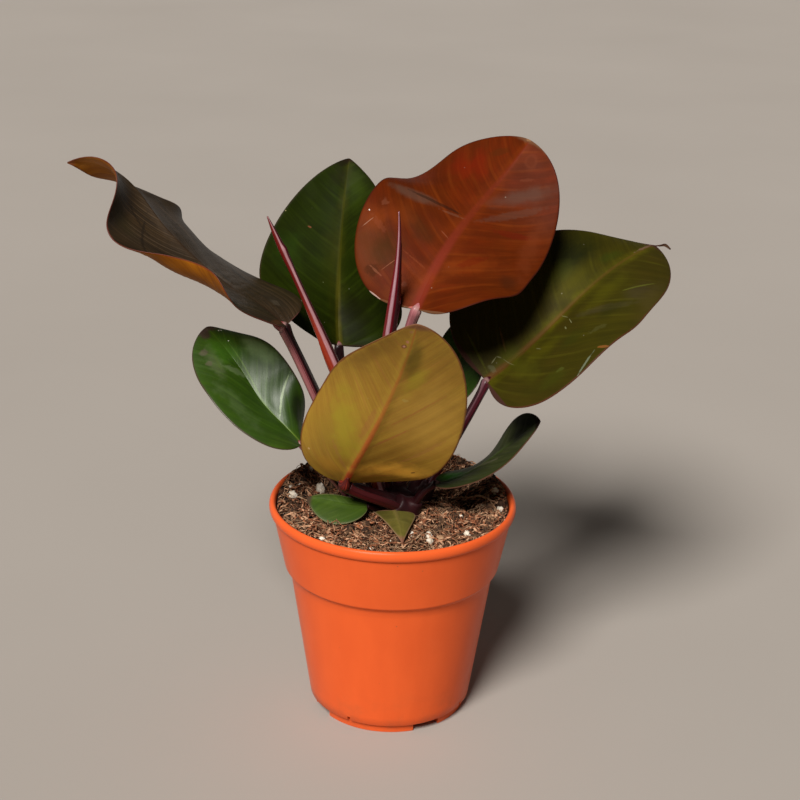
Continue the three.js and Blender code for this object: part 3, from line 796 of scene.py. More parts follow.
@dataclass
class Leaf:
    """One broad leaf: an outline bent along its midrib and across each half.

    The lobe is how far the base reaches back beside the stalk, and the taper how early the leaf narrows.
    Heading, pitch, roll, fold and curls are degrees at even steps from base to tip.
    """

    name: str
    slot: str
    kind: LeafKind
    base: Point
    length: float
    left: float
    right: float
    lobe: float
    taper: float
    heading: tuple[float, ...]
    pitch: tuple[float, ...]
    roll: tuple[float, ...]
    fold: tuple[float, ...]
    curl_left: tuple[float, ...]
    curl_right: tuple[float, ...]
    ripples: tuple[Ripple, ...] = ()
    dry_tip: tuple[tuple[Point, float], ...] = ()
    marks: tuple[Mark, ...] = ()
    under_marks: tuple[Mark, ...] = ()
    sweep: float = 0.62
    rows: int = 150
    half_columns: int = 34
    rib_columns: int = 5
    thickness: float = 0.76
    rim: float = 0.2
    rib_half: float = 1.5
    rib_depth: float = 0.8
    seed: int = 1

    RIB_STEPS = 48
    DRY_STEPS = 14
    BASE_HALF_WIDTH = 2.0
    TIP_HALF_WIDTH = 0.45
    SMALL_LENGTH = 80.0
    MARGIN_ROUND = 1.6
    GROOVE_HALF = 0.9
    WANDER = 1.6
    WANDER_SIZE = 22.0

    def axes(self, t: Array) -> tuple[Array, Array, Array]:
        """Find the directions along the midrib, to the leaf's left and out of its face.

        Args:
            t: Places along the midrib from 0 to 1.

        Returns:
            Three arrays of unit vectors.
        """
        heading, pitch, roll = (np.radians(along(v, t)) for v in (self.heading, self.pitch, self.roll))
        level = np.cos(pitch)
        ahead = np.stack([np.cos(heading) * level, np.sin(heading) * level, np.sin(pitch)], -1)
        left = np.stack([-np.sin(heading), np.cos(heading), np.zeros_like(heading)], -1)
        up = np.cross(ahead, left)
        c, s = np.cos(roll)[..., None], np.sin(roll)[..., None]
        return ahead, left * c + up * s, up * c - left * s

    def midrib(self) -> Array:
        """Follow the midrib from the base.

        Returns:
            Its points.
        """
        t = (np.arange(self.RIB_STEPS) + 0.5) / self.RIB_STEPS
        steps = self.axes(t)[0] * self.length / self.RIB_STEPS
        return np.concatenate([[self.base], np.asarray(self.base) + np.cumsum(steps, 0)])

    def bend(self, x: Array, y: Array, side: Array) -> Array:
        """Place points of the flat leaf in the bent one.

        Args:
            x: Distances along the midrib.
            y: Distances out from it.
            side: 1 for the left half, -1 for the right half.

        Returns:
            The points.
        """
        rib = self.midrib()
        t = np.clip(x / self.length, 0, 1)
        k = np.minimum((t * self.RIB_STEPS).astype(int), self.RIB_STEPS - 1)
        part = (t * self.RIB_STEPS - k)[..., None]
        ahead, left, up = self.axes(t)
        points = rib[k] * (1 - part) + rib[k + 1] * part + ahead * np.minimum(x, 0)[..., None]
        width = np.where(side > 0, self.left, self.right)
        fold = np.radians(along(self.fold, t))
        degrees = np.where(side > 0, along(self.curl_left, t), along(self.curl_right, t))
        curl = np.where(np.abs(degrees) < 0.01, 1e-5, np.radians(degrees) / width)
        turned = fold + curl * y
        out = side * (np.sin(turned) - np.sin(fold)) / curl
        rise = (np.cos(fold) - np.cos(turned)) / curl
        for ripple in self.ripples:
            near = hump(t - ripple.at, ripple.span) * (side == ripple.side)
            lift = ripple.lift * near * np.minimum(1, y / width) ** 2
            rise = rise + lift * np.cos(turned)
            out = out - side * lift * np.sin(turned)
        return points + left * out[..., None] + up * rise[..., None]

    def spacing(self) -> float:
        """Tell the distance between two side veins."""
        return UPPER[self.kind].spacing * min(1.0, self.length / self.SMALL_LENGTH)

    def veins(self, straight: Array, y: Array, side: Array) -> Array:
        """Find where the side vein through each point leaves the midrib.

        Args:
            straight: Distances along the midrib before the lobes are swept back.
            y: Distances out from it.
            side: 1 for the left half, -1 for the right half.

        Returns:
            Places along the midrib, negative for veins that fan out from the base.
        """
        half = max(self.left, self.right)
        origin = straight - self.sweep * y - 0.3 * y * y / half
        fan = origin * 0.55 * half / (y + 0.16 * half)
        phase = np.where(origin < 0, fan, origin) + np.where(side > 0, 0.0, 0.37 * self.spacing())
        spots = np.stack([phase * 0.6, y * side * 0.5, np.full_like(y, self.seed)], -1)
        return phase + self.WANDER * grain(spots, self.WANDER_SIZE, self.seed) * ease(y, 0, 8)

    def sheet(self) -> tuple[Array, ...]:
        """Lay out the bent middle sheet, each row from the right to the left margin.

        Returns:
            Points, distances x and y, half width, straight distance and side at each place.
        """
        theta = np.pi * np.arange(self.rows + 1)[:, None] / self.rows
        opened = np.clip((1 + np.cos(theta)) / 2, 0, None)
        lean = self.taper / (1 + self.taper)
        peak = math.sqrt(1 - lean * lean) * ((1 + lean) / 2) ** self.taper
        belly = np.sin(theta) * opened**self.taper / peak
        stem = self.BASE_HALF_WIDTH * opened**3 + self.TIP_HALF_WIDTH
        j = np.arange(-self.half_columns, self.half_columns + 1)[None, :]
        side = np.where(j < 0, -1.0, 1.0) * np.ones_like(theta)
        half = np.where(side > 0, self.left, self.right) * belly + stem
        rib = np.minimum(0.1 * half, self.rib_half * (0.3 + 0.7 * opened))
        inner = np.minimum(np.abs(j) / self.rib_columns, 1)
        outer = np.clip((np.abs(j) - self.rib_columns) / (self.half_columns - self.rib_columns), 0, 1)
        y = rib * inner + (half - rib) * (1.25 * outer - 0.25 * outer**3)
        straight = self.length * (1 - np.cos(theta)) / 2 * np.ones_like(y)
        x = straight - self.lobe * np.sin(theta) * opened * y / half
        return self.bend(x, y, side), x, y, half, straight, side

    def dry_rows(self, grid: Array) -> Array:
        """Continue the sheet into a dried tip, if the leaf has one.

        Args:
            grid: The sheet's points.

        Returns:
            The points of the added rows, which may be none.
        """
        if not self.dry_tip:
            return grid[:0]
        t = (np.arange(self.DRY_STEPS) + 1) / self.DRY_STEPS
        outs = along(((0, 0, 0), *(out for out, _ in self.dry_tip)), t)
        half = along((self.TIP_HALF_WIDTH, *(half for _, half in self.dry_tip)), t)[:, None, None]
        flat = self.axes(np.array([1.0]))[1][0]
        raised = np.cross(flat, unit(outs[-1:])[0])
        turn = (1.25 * ease(t, 0, 0.5))[:, None, None]
        across = np.cos(turn) * flat + np.sin(turn) * raised
        curled = np.cos(turn) * raised - np.sin(turn) * flat
        share = np.linspace(-1, 1, grid.shape[1])[None, :, None]
        middle = (self.midrib()[-1] + outs)[:, None, :]
        return middle + half * share * across + 0.35 * half * share**2 * curled

    def patches(self, marks: tuple[Mark, ...]) -> tuple[Patch, ...]:
        """Lay marks on the flat blade, each where the photograph shows it.

        Args:
            marks: Marks of one face of the leaf.

        Returns:
            The patches.
        """
        grid, ahead, out, _, _, side = self.sheet()
        seen, far = SIGHT.pixels_of(grid.reshape(-1, 3))
        flat = np.stack([(ahead * np.ones_like(out)).ravel(), (out * side).ravel()], -1)
        patches = []
        for mark in marks:
            start, end = (shown_at(pixel, seen, far, flat) for pixel in (mark.start, mark.end))
            run, middle = end - start, (start + end) / 2
            span = math.hypot(*run)
            turn = math.atan2(run[1], run[0]) if span > 0.3 else 0
            patches.append(Patch(mark, *middle.tolist(), max(span / 2, mark.width), turn))
        return tuple(patches)

    def relief(
        self, grid: Array, t: Array, y: Array, half: Array, edge: Array,
        phase: Array,
    ) -> tuple[Array, Array]:
        """Raise the midrib and the blade between its side veins.

        Args:
            grid: Points of the middle sheet.
            t: Places along the midrib from 0 to 1.
            y: Distances out from it.
            half: Half widths.
            edge: Distances from the margin.
            phase: Where the side vein through each point leaves the midrib.

        Returns:
            Heights of the upper and the lower face over the middle sheet.
        """
        spacing = self.spacing()
        part = np.abs((phase / spacing) % 1 - 0.5)
        fade = ease(edge, 0, 5) * ease(y, 0.8, 3) * ease(1 - t, 0, 0.2)
        groove = hump((0.5 - part) * spacing, self.GROOVE_HALF) * fade
        quilt = np.sin(np.pi * np.clip(2 * (0.5 - part), 0, 1) * 0.5) * fade
        size = min(1.0, self.length / 100)
        wave = 0.4 * size * grain(grid, 26 * size + 4, self.seed + 3, 2) * ease(y, 2, 12)
        narrowing = (1 - np.arange(len(grid)) / (len(grid) - 1))[:, None]
        rib = np.maximum(np.minimum(0.1 * half, self.rib_half), 0.2)
        ridge = np.sqrt(np.clip(1 - (y / (1.25 * rib)) ** 2, 0, 1)) * narrowing
        channel = hump(y - 1.6 * rib, rib) * narrowing * ease(edge, 0, 4)
        rounded = np.sqrt(np.clip(edge / self.MARGIN_ROUND, 0, 1))
        skin = self.rim / 2 + (self.thickness - self.rim) / 2 * rounded
        middle = wave + 0.1 * size * quilt - 0.1 * channel
        top = middle + skin - 0.06 * size * groove + 0.16 * ridge
        return top, middle - skin - 0.08 * size * groove - self.rib_depth * ridge

    def faces(self, rows: int, columns: int) -> tuple[Faces, list[int]]:
        """List the faces of both skins and of the rim that joins them.

        Args:
            rows: Rows of points on a skin.
            columns: Points in a row.

        Returns:
            The faces, and 1 for those of the underside and 0 for the others.
        """
        under = rows * columns
        upper = [(a, d, c, b) for a, b, c, d in grid_faces(rows, columns)]
        lower = grid_faces(rows, columns, start=under)
        walls = []
        for i in range(rows - 1):
            walls.append(((i + 1) * columns, i * columns))
            walls.append(((i + 1) * columns - 1, (i + 2) * columns - 1))
        for j in range(columns - 1):
            last = (rows - 1) * columns + j
            walls.append((last + 1, last))
            walls.append((j, j + 1))
        rim = [(q, q + under, p + under, p) for p, q in walls]
        return upper + lower + rim, [0] * len(upper) + [1] * len(lower) + [0] * len(rim)

    def build(self) -> Piece:
        """Make the leaf with its relief and skins.

        Returns:
            The leaf.
        """
        grid, *flat = self.sheet()
        added = self.dry_rows(grid)
        extra = len(added)
        grid = np.concatenate([grid, added])
        x, y, half, straight, side = (np.pad(v, ((0, extra), (0, 0)), mode="edge") for v in flat)
        t = np.clip(x / self.length, 0, 1)
        share = np.clip(y / half, 0, 1)
        edge = half * (1 - share)
        phase = self.veins(straight, y, side)
        normal = unit(np.cross(np.gradient(grid, axis=0), np.gradient(grid, axis=1)))
        lifts = self.relief(grid, t, y, half, edge, phase)
        points = np.concatenate([(grid + normal * lift[..., None]).reshape(-1, 3) for lift in lifts])
        rows, columns = grid.shape[:2]
        faces, slots = self.faces(rows, columns)
        dry = np.arange(rows)[:, None] > rows - extra - 2
        x = np.where(dry & (extra > 0), self.length, x)
        flow = np.stack([phase, y * side, x], -1).reshape(-1, 3)
        place = np.stack([share * side, t, edge], -1).reshape(-1, 3)
        under = UNDER.get(self.kind, UNDER[LeafKind.GREEN])
        skins = [
            UPPER[self.kind].build(f"{self.name}_skin", self.seed, self.patches(self.marks)),
            under.build(f"{self.name}_underskin", self.seed, self.patches(self.under_marks)),
        ]
        stored = {"leaf_flow": np.concatenate([flow, flow]), "leaf_place": np.concatenate([place, place])}
        piece = make_piece(f"{self.name}_blade", points, faces, skins, slots, stored)
        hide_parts(self.name)
        return piece


def shown_at(pixel: Pair, seen: Array, far: Array, flat: Array) -> Array:
    """Find the place on the flat blade that shows at a pixel, on its nearest fold.

    Args:
        pixel: The pixel of the photograph.
        seen: Pixels of the blade's points.
        far: Their distances from the camera.
        flat: Their places on the flat blade.

    Returns:
        The place, ahead and out.
    """
    off = np.linalg.norm(seen - np.array(pixel), axis=1)
    front = np.where(off < max(off.min() + 1, 1.2), far, np.inf).argmin()
    weight = hump(off, 1.0) * (np.abs(far - far[front]) < 3)
    return weight @ flat / weight.sum() if weight.sum() > 1e-6 else flat[front]


# Seen and chosen one by one on the photograph, broad areas before small spots; some are painted sheen,
# highlights, shade and shadows, as noted beside them.
FRONT_UNDER_MARKS = (
    Mark((333, 400), (340, 462), 15, (138, 110, 35), 0.8, 0.3),
    # Painted light: the right half made paler where the leaf gets little light.
    Mark((428, 380), (425, 455), 19, (174, 136, 57), 0.75, 0.3),
    # Painted light: the low part made paler where the leaf faces down into shade.
    Mark((352, 470), (432, 476), 8, (250, 190, 74), 0.85, 0.35),
    Mark((318, 455), (345, 474), 6, (176, 130, 44), 0.6, 0.4),
    Mark((342, 378), (350, 468), 7.5, (150, 138, 34), 0.55),
    Mark((417, 342), (408, 382), 4.6, (92, 76, 14), 0.75, 0.4),
    Mark((430, 362), (404, 398), 4.5, (150, 136, 34), 0.5, 0.6),
    Mark((352, 362), (398, 338), 5, (116, 84, 28), 0.5, 0.6),
    Mark((345, 352), (372, 372), 4, (126, 92, 32), 0.4, 0.7),
    Mark((404, 344), (404, 348), 1.3, (112, 66, 44), 0.7, 0.3, 0.1),
    Mark((404, 345), (404, 347), 0.6, (196, 140, 122), 0.8, 0.2, 0.1),
    Mark((407, 340), (408, 343), 0.7, (178, 116, 92), 0.7, 0.3, 0.1),
    Mark((411, 330), (412, 333), 0.9, (160, 110, 80), 0.5, 0.4, 0.1),
    Mark((308, 447), (310, 449), 0.6, (196, 160, 110), 0.7, 0.3, 0.1),
    Mark((411, 473), (415, 472), 0.7, (92, 50, 30), 0.7, 0.3, 0.1),
    Mark((402, 400), (408, 401), 1, (168, 148, 80), 0.4, 0.6, 0.1),
    Mark((372, 446), (412, 429), 0.5, (166, 88, 56), 0.5),
    Mark((348, 477), (402, 476), 0.5, (166, 88, 56), 0.45),
    Mark((385, 428), (446, 396), 0.6, (160, 92, 50), 0.4, 0.6),
    Mark((400, 462), (445, 440), 1.2, (156, 100, 60), 0.3, 0.7),
    Mark((333, 440), (347, 470), 1, (150, 100, 56), 0.35, 0.7),
    Mark((360, 440), (378, 405), 1.6, (150, 96, 50)),
)
LOW_RIGHT_MARKS = (
    Mark((440, 477), (466, 474), 6, (44, 116, 8), 1, 0.2),
    # Painted shade: near black over the tip.
    Mark((506, 448), (534, 418), 9, (10, 12, 4), 1, 0.2),
    Mark((470, 470), (500, 458), 1.2, (96, 92, 70), 0.4, 0.6),
)
COPPER_MARKS = (
    Mark((372, 205), (372, 232), 7, (128, 54, 10), 0.5, 0.4),
    Mark((402, 262), (428, 292), 7, (126, 50, 8), 0.45, 0.4),
    Mark((398, 205), (436, 243), 5, (62, 32, 7), 0.55, 0.5, 0.05),
    Mark((372, 240), (398, 246), 4.5, (66, 34, 9), 0.5, 0.5, 0.05),
    Mark((455, 150), (468, 181), 5.5, (112, 20, 5)), Mark((481, 148), (480, 182), 4.5, (112, 20, 5)),
    Mark((366, 215), (372, 285), 9, (94, 44, 5), 0.6, 0.4),
    Mark((380, 290), (410, 300), 5, (104, 44, 6), 0.5, 0.4),
    Mark((368, 235), (402, 262), 8, (58, 34, 8), 0.6, 0.5, 0.05),
    Mark((425, 280), (500, 262), 6, (124, 54, 12)), Mark((380, 205), (415, 225), 6, (116, 46, 8)),
    Mark((492, 232), (532, 240), 2.2, (92, 18, 5), 0.45),
    Mark((455, 268), (487, 258), 2.2, (88, 20, 5), 0.45), Mark((490, 155), (510, 150), 2.6, (70, 34, 8)),
    Mark((545, 215), (520, 282), 5, (112, 52, 26), 0.3, 0.6, 0.05),
    # Painted sheen: a grey band from the midrib out to the right point.
    Mark((487, 203), (561, 188), 4.6, (84, 62, 52), 0.55, 0.45, 0.12),
    # Painted sheen: a narrower grey band below it.
    Mark((478, 222), (548, 208), 2.2, (86, 56, 44), 0.4, 0.5, 0.1),
    # Painted sheen along the fold.
    Mark((388, 184), (440, 206), 3.4, (84, 62, 50), 0.6, 0.4, 0.1),
    # Painted shade in the fold's valley.
    Mark((408, 190), (464, 217), 0.9, (36, 18, 9), 0.6, 0.3),
    # Painted highlight on the ridge beside that valley.
    Mark((440, 210), (464, 219), 0.7, (110, 74, 56), 0.3, 0.6),
    # Painted shadow in a dip near the lower right.
    Mark((501, 281), (516, 286), 5, (50, 24, 9), 0.45),
    Mark((369, 210), (370, 211), 0.3, (216, 206, 196), 0.9, 0.3, 0.1),
    Mark((362, 227), (376, 217), 0.22, (170, 130, 108), 0.45, 0.4, 0.1),
    Mark((373, 215), (384, 232), 1.4, (128, 66, 42), 0.22, 1, 0.1),
    Mark((382, 199), (388, 205), 1.6, (122, 72, 50), 0.3, 0.9, 0.1),
    Mark((364, 268), (381, 272), 3, (50, 28, 13), 0.5, 0.8, 0.2),
    Mark((370, 265), (382, 277), 0.5, (140, 86, 62), 0.4, 1, 0.2),
    Mark((382, 270), (397, 259), 0.2, (160, 104, 76), 0.4, 0.5, 0.1),
    Mark((404, 250), (428, 271), 0.4, (130, 64, 34), 0.3, 0.8, 0.05),
    Mark((441, 231), (448, 239), 0.3, (140, 80, 54), 0.4, 0.6, 0.05),
    Mark((531, 154), (531, 170), 3.4, (126, 64, 38), 0.3, 0.35, 0.1),
    Mark((531, 156), (531, 168), 2.6, (86, 33, 9), 0.85, 0.2),
    Mark((520, 181), (535, 180), 0.8, (122, 66, 44), 0.2, 1, 0.1),
    Mark((527, 138), (531, 142), 1.1, (140, 104, 74), 0.7, 0.4, 0.2),
    # Painted highlight along the lower left edge.
    Mark((366, 293), (380, 299), 0.35, (206, 180, 168), 0.6, 0.5, -0.1),
    # Painted highlight on the ring where the blade meets its stalk.
    Mark((408, 307), (420, 308), 0.8, (190, 108, 98), 0.7, 0.3, -0.05),
    Mark((402, 284), (406, 285), 1.3, (120, 72, 56), 0.35, 0.4, 0.1),
)
RIGHT_MARKS = (
    # Painted shade over the top of the leaf, beside the copper leaf's shadow.
    Mark((560, 225), (612, 252), 11, (26, 28, 4), 0.55, 0.3),
    # Painted sheen near the right margin.
    Mark((625, 300), (655, 285), 6.5, (60, 50, 36), 0.4, 0.45, 0.1),
    # Painted sheen: a grey band across the right half.
    Mark((575, 318), (640, 302), 2.6, (64, 58, 40), 0.3, 0.5, 0.1),
    Mark((620, 292), (655, 284), 0.6, (88, 92, 30), 0.5, 0.4),
    Mark((560, 380), (520, 395), 4.5, (40, 42, 6), 0.3), Mark((540, 330), (590, 345), 4, (50, 50, 8), 0.25),
    Mark((491, 364), (497, 357), 0.28, (150, 148, 110), 0.65, 0.3, 0.2),
    Mark((497, 357), (503, 359), 0.35, (150, 148, 110), 0.6, 0.4, 0.2),
    Mark((503, 359), (515, 366), 0.25, (140, 134, 100), 0.6, 0.3, 0.2),
    Mark((489, 366), (496, 372), 1.6, (110, 110, 80), 0.35, 0.8, 0.2),
    Mark((536, 349), (542, 350), 0.25, (130, 128, 96), 0.4, 0.5, 0.2),
    Mark((562, 316), (568, 318), 0.25, (140, 140, 100), 0.35, 0.4, 0.2),
    Mark((570, 319), (572, 323), 0.25, (140, 140, 100), 0.5, 0.4, 0.2),
    Mark((565, 327), (567, 330), 0.4, (130, 130, 90), 0.5, 0.5, 0.2),
    Mark((590, 333), (606, 326), 1.6, (84, 84, 46), 0.22, 1, 0.2),
    Mark((558, 372), (565, 368), 1.1, (88, 98, 40), 0.3, 0.8, 0.1),
    Mark((466, 331), (487, 372), 0.7, (84, 88, 18), 0.5, 0.4),
    Mark((500, 328), (507, 356), 0.6, (104, 74, 40), 0.5, 0.4),
    # Painted sheen along the edge fold.
    Mark((593, 353), (577, 377), 0.6, (116, 126, 104), 0.6, 0.45, -0.1),
    Mark((636, 252), (652, 245), 0.9, (116, 84, 70), 0.6, 0.7, 0.2),
    Mark((600, 262), (622, 252), 4, (40, 54, 8), 0.4, 0.6),
    # Painted shadow of the copper leaf, near black.
    Mark((562, 245), (575, 270), 14, (18, 22, 4), 0.85, 0.3),
    Mark((554, 302), (592, 262), 6, (84, 80, 8), 0.4, 0.4),
    Mark((580, 318), (628, 272), 5.2, (80, 78, 8), 0.28, 0.4),
    Mark((524, 366), (566, 332), 5.2, (80, 78, 8), 0.28, 0.4),
    Mark((500, 345), (520, 362), 6, (80, 84, 16), 0.5), Mark((645, 320), (662, 280), 6, (66, 56, 26), 0.5),
    Mark((600, 320), (625, 300), 5, (34, 34, 6), 0.5, 0.6),
    Mark((540, 385), (570, 372), 5, (56, 60, 10), 0.4, 0.6),
    Mark((585, 330), (560, 350), 4, (46, 48, 8), 0.45, 0.6), Mark((500, 350), (540, 380), 7, (74, 74, 12)),
    Mark((545, 285), (575, 265), 7, (62, 66, 9)), Mark((597, 348), (611, 347), 0.8, (128, 78, 36), 0.7, 0.3),
)
BACK_MARKS = (
    Mark((330, 170), (358, 180), 6, (34, 32, 14), 0.6, 0.5, 0.1),
    Mark((300, 200), (320, 185), 5, (36, 44, 14), 0.4, 0.6, 0.1),
    Mark((308, 226), (312, 228), 0.5, (128, 72, 50), 0.7, 0.7, 0.2),
    Mark((322, 282), (323, 283), 0.3, (96, 104, 66), 0.6, 0.3, 0.2),
    Mark((275, 250), (285, 275), 4, (26, 38, 6), 0.5),
    # Painted shade over the low part of the leaf.
    Mark((345, 325), (362, 300), 13, (19, 19, 2), 0.75, 0.4),
    # The first mark on the next line is painted shade over the low part too.
    Mark((300, 325), (325, 310), 8, (20, 22, 3), 0.6), Mark((275, 235), (300, 260), 8, (38, 60, 8), 0.4, 0.6),
    Mark((352, 166), (358, 210), 6, (46, 62, 2), 0.5),
    Mark((335, 163), (350, 158), 3, (24, 17, 8), 0.7, 0.5, 0.1),
    Mark((285, 210), (286, 211), 0.3, (170, 160, 110), 0.7, 0.3, 0.1),
    Mark((336, 210), (330, 300), 6, (50, 52, 6), 0.35),
)
LOW_LEFT_MARKS = (
    Mark((205, 350), (240, 352), 9, (66, 112, 24), 0.6),
    # Painted sheen on the right half near the tip.
    Mark((238, 336), (278, 366), 4.6, (112, 136, 88), 0.6),
    Mark((222, 336), (296, 440), 0.42, (104, 136, 50), 0.32, 0.3),
    Mark((205, 345), (222, 380), 4, (96, 104, 74), 0.35, 0.8, 0.05),
    Mark((215, 380), (260, 430), 5, (92, 110, 70), 0.25, 1, 0.05),
    Mark((203, 330), (207, 340), 3, (52, 32, 22), 0.85, 0.35, 0.2),
    Mark((201, 352), (206, 355), 2.2, (84, 74, 60), 0.65, 0.6, 0.2),
    Mark((207, 362), (211, 366), 1.8, (80, 74, 56), 0.6, 0.6, 0.2),
    Mark((218, 331), (218.5, 331.5), 0.4, (226, 230, 210), 0.9, 0.1, 0.1),
    Mark((220.5, 331), (221, 331.5), 0.35, (226, 230, 210), 0.9, 0.1, 0.1),
    Mark((228, 341), (228.5, 341.5), 0.35, (226, 230, 210), 0.9, 0.1, 0.1),
    Mark((213, 355), (222, 372), 0.5, (70, 92, 30)),
    # Painted sheen on the left half.
    Mark((222, 366), (245, 378), 2.2, (104, 122, 82), 0.45, 0.7),
    # Painted shade beyond the ridge, where the margin turns away from the light.
    Mark((296, 390), (297, 425), 3.2, (14, 26, 4), 0.8, 0.3),
    # Painted highlight along the ridge of the right half.
    Mark((291, 371), (280, 417), 0.6, (150, 172, 120), 0.5, 0.5, -0.05),
)
FAR_LEFT_MARKS = (
    # Painted shade over the dark crescent along the curled left side.
    Mark((117, 190), (136, 238), 5, (40, 32, 10), 0.75, 0.4, 0.1),
    Mark((146, 215), (176, 262), 0.7, (30, 21, 11), 0.7, 0.7),
    Mark((127, 200), (150, 238), 0.6, (30, 21, 11), 0.6, 0.7),
    Mark((158, 205), (200, 250), 0.8, (96, 78, 60), 0.5, 0.8),
    Mark((200, 262), (240, 290), 1.6, (98, 80, 62), 0.4, 0.8),
    Mark((288, 322), (270, 326), 2, (96, 54, 24), 0.5, 0.6),
    # Painted shade along the lower end of that crescent.
    Mark((142, 254), (192, 262), 2.8, (42, 32, 14), 0.7, 0.4, 0.1),
    Mark((262, 292), (285, 312), 7, (38, 30, 17), 0.7, 0.6, 0.1),
    Mark((225, 290), (255, 318), 4, (44, 36, 22), 0.5, 0.6, 0.1),
    Mark((270, 300), (278, 306), 2.4, (74, 64, 50), 0.5, 0.9, 0.1),
    Mark((150, 200), (165, 230), 3, (58, 46, 34), 0.4, 0.7, 0.1),
)
FAR_LEFT_UNDER_MARKS = (
    Mark((80, 162), (105, 166), 7, (168, 112, 52), 0.55, 0.4),
)
LEAVES = (
    Leaf(
        "leaf_far_left", "leaf_brown", LeafKind.BROWN, (-51.1, -10.9, 199.3), 126.5, 39.5, 49.5, 6.5, 0.58,
        (167, 172.5, 173.5, 176.5, 158, 179.5, 200), (43.5, 31, 39, 46.5, 50.5, 30.5, -10.5),
        (3, 9, -6, -34, 2, 26, 58), (28, 3, -12, -25, -33, -18, -23),
        (-31, 2, 79, 141, 40, 75, 136), (-57, -5, -12, -43, 53, 61, 52),
        rows=200, sweep=2.2, seed=1, marks=FAR_LEFT_MARKS, under_marks=FAR_LEFT_UNDER_MARKS,
    ),
    Leaf(
        "leaf_back", "leaf_green", LeafKind.GREEN, (-28.4, 43, 171.4), 96.5, 41, 35.5, 10, 0.37,
        (98, 83, 82), (50, 70, 47), (24, -11, 16), (21, 21, 7), (8, 19, 10), (18, 37, 7), seed=2,
        marks=BACK_MARKS,
    ),
    Leaf(
        "leaf_copper", "leaf_copper", LeafKind.COPPER, (9.3, -12, 209.3), 106.5, 44.5, 41, 11.5, 0,
        (57, 54, 27), (52, 29, 51), (-1, 28, 22), (14, -1, -12), (0, 0, 0), (0, 0, 0),
        ripples=(Ripple(1, 0.68, 0.137, -19), Ripple(-1, 0.23, 0.126, -9)), seed=3, marks=COPPER_MARKS,
    ),
    Leaf(
        "leaf_right", "leaf_dark", LeafKind.DARK, (43.6, 7.4, 167.7), 114, 48.5, 43.5, 16.5, 0.2,
        (15, 24, 51), (34, 40, -3), (22, 13, 9), (17, 16, -10), (26, 5, 23), (-10, -14, -25),
        ripples=(Ripple(-1, 0.557, 0.083, -3),), seed=4,
        dry_tip=(((2.5, 0.5, 0.2), 0.9), ((5, 1, 0.3), 1), ((8, 1.5, -2), 0.4)),
        marks=RIGHT_MARKS,
    ),
    Leaf(
        "leaf_front", "leaf_olive", LeafKind.OLIVE, (-22.6, -15.8, 123.3), 114, 39.5, 31.5, 6, 0.19,
        (-78, -41, -74), (44, 63, 61), (-10, -43, -10), (14, 6, -1), (-28, -6, -5), (8, 48, -10),
        sweep=1.1, seed=5, under_marks=FRONT_UNDER_MARKS,
    ),
    Leaf(
        "leaf_low_left", "leaf_young", LeafKind.YOUNG, (-43.5, -14, 142), 75, 26.5, 20, 0.5, 0.05,
        (160, 146.5, 134, 142.5, 147.5), (45, 32, 40, 38, 35.5), (2, -22, -6.5, -8, -8),
        (10, 38, 29.5, 16, -9), (-57, -31, -31, -40, -36), (-166, -49, 9.5, 2, -46), sweep=1.4, seed=6,
        marks=LOW_LEFT_MARKS,
    ),
    Leaf(
        "leaf_low_right", "leaf_dark", LeafKind.DUSK, (20.5, -9, 120.8), 59.5, 18.5, 17.5, 1.5, 0.06,
        (1, 14, -12), (12, 35, 45), (-5, -12, 23), (5, -3, 16), (-4, -17, 18), (-2, 0, 3), seed=7,
        marks=LOW_RIGHT_MARKS,
    ),
    Leaf(
        "leaf_inner", "leaf_young", LeafKind.YOUNG, (29.7, 26, 148.7), 45.5, 13.5, 12.5, 0.5, 0.3,
        (77, 84, 85), (44, 52, 57), (-19, -6, 0), (14, 9, 8), (5, 5, 5), (12, 9, 5), seed=8,
    ),
    Leaf(
        "leaf_small_left", "leaf_young", LeafKind.SPROUT, (-12.4, -10, 108.8), 29.5, 11, 4.5, -5, 0.25,
        (189, 168, 170), (-4, 7, -1), (-22, -28, -30), (5, 5, 6), (-8, -11, -12), (-13, -9, -11),
        rows=70, half_columns=22, seed=9,
    ),
    Leaf(
        "leaf_small_front", "leaf_olive", LeafKind.OLIVE, (1.2, -13, 107.9), 26.5, 8.5, 8.5, 5.5, 0.78,
        (-85, -80, -82), (9, -8, -31), (-3, -10, -4), (-3, 0, -5), (-6, -6, -10), (-3, -1, -9),
        rows=70, half_columns=22, seed=10,
    ),
)


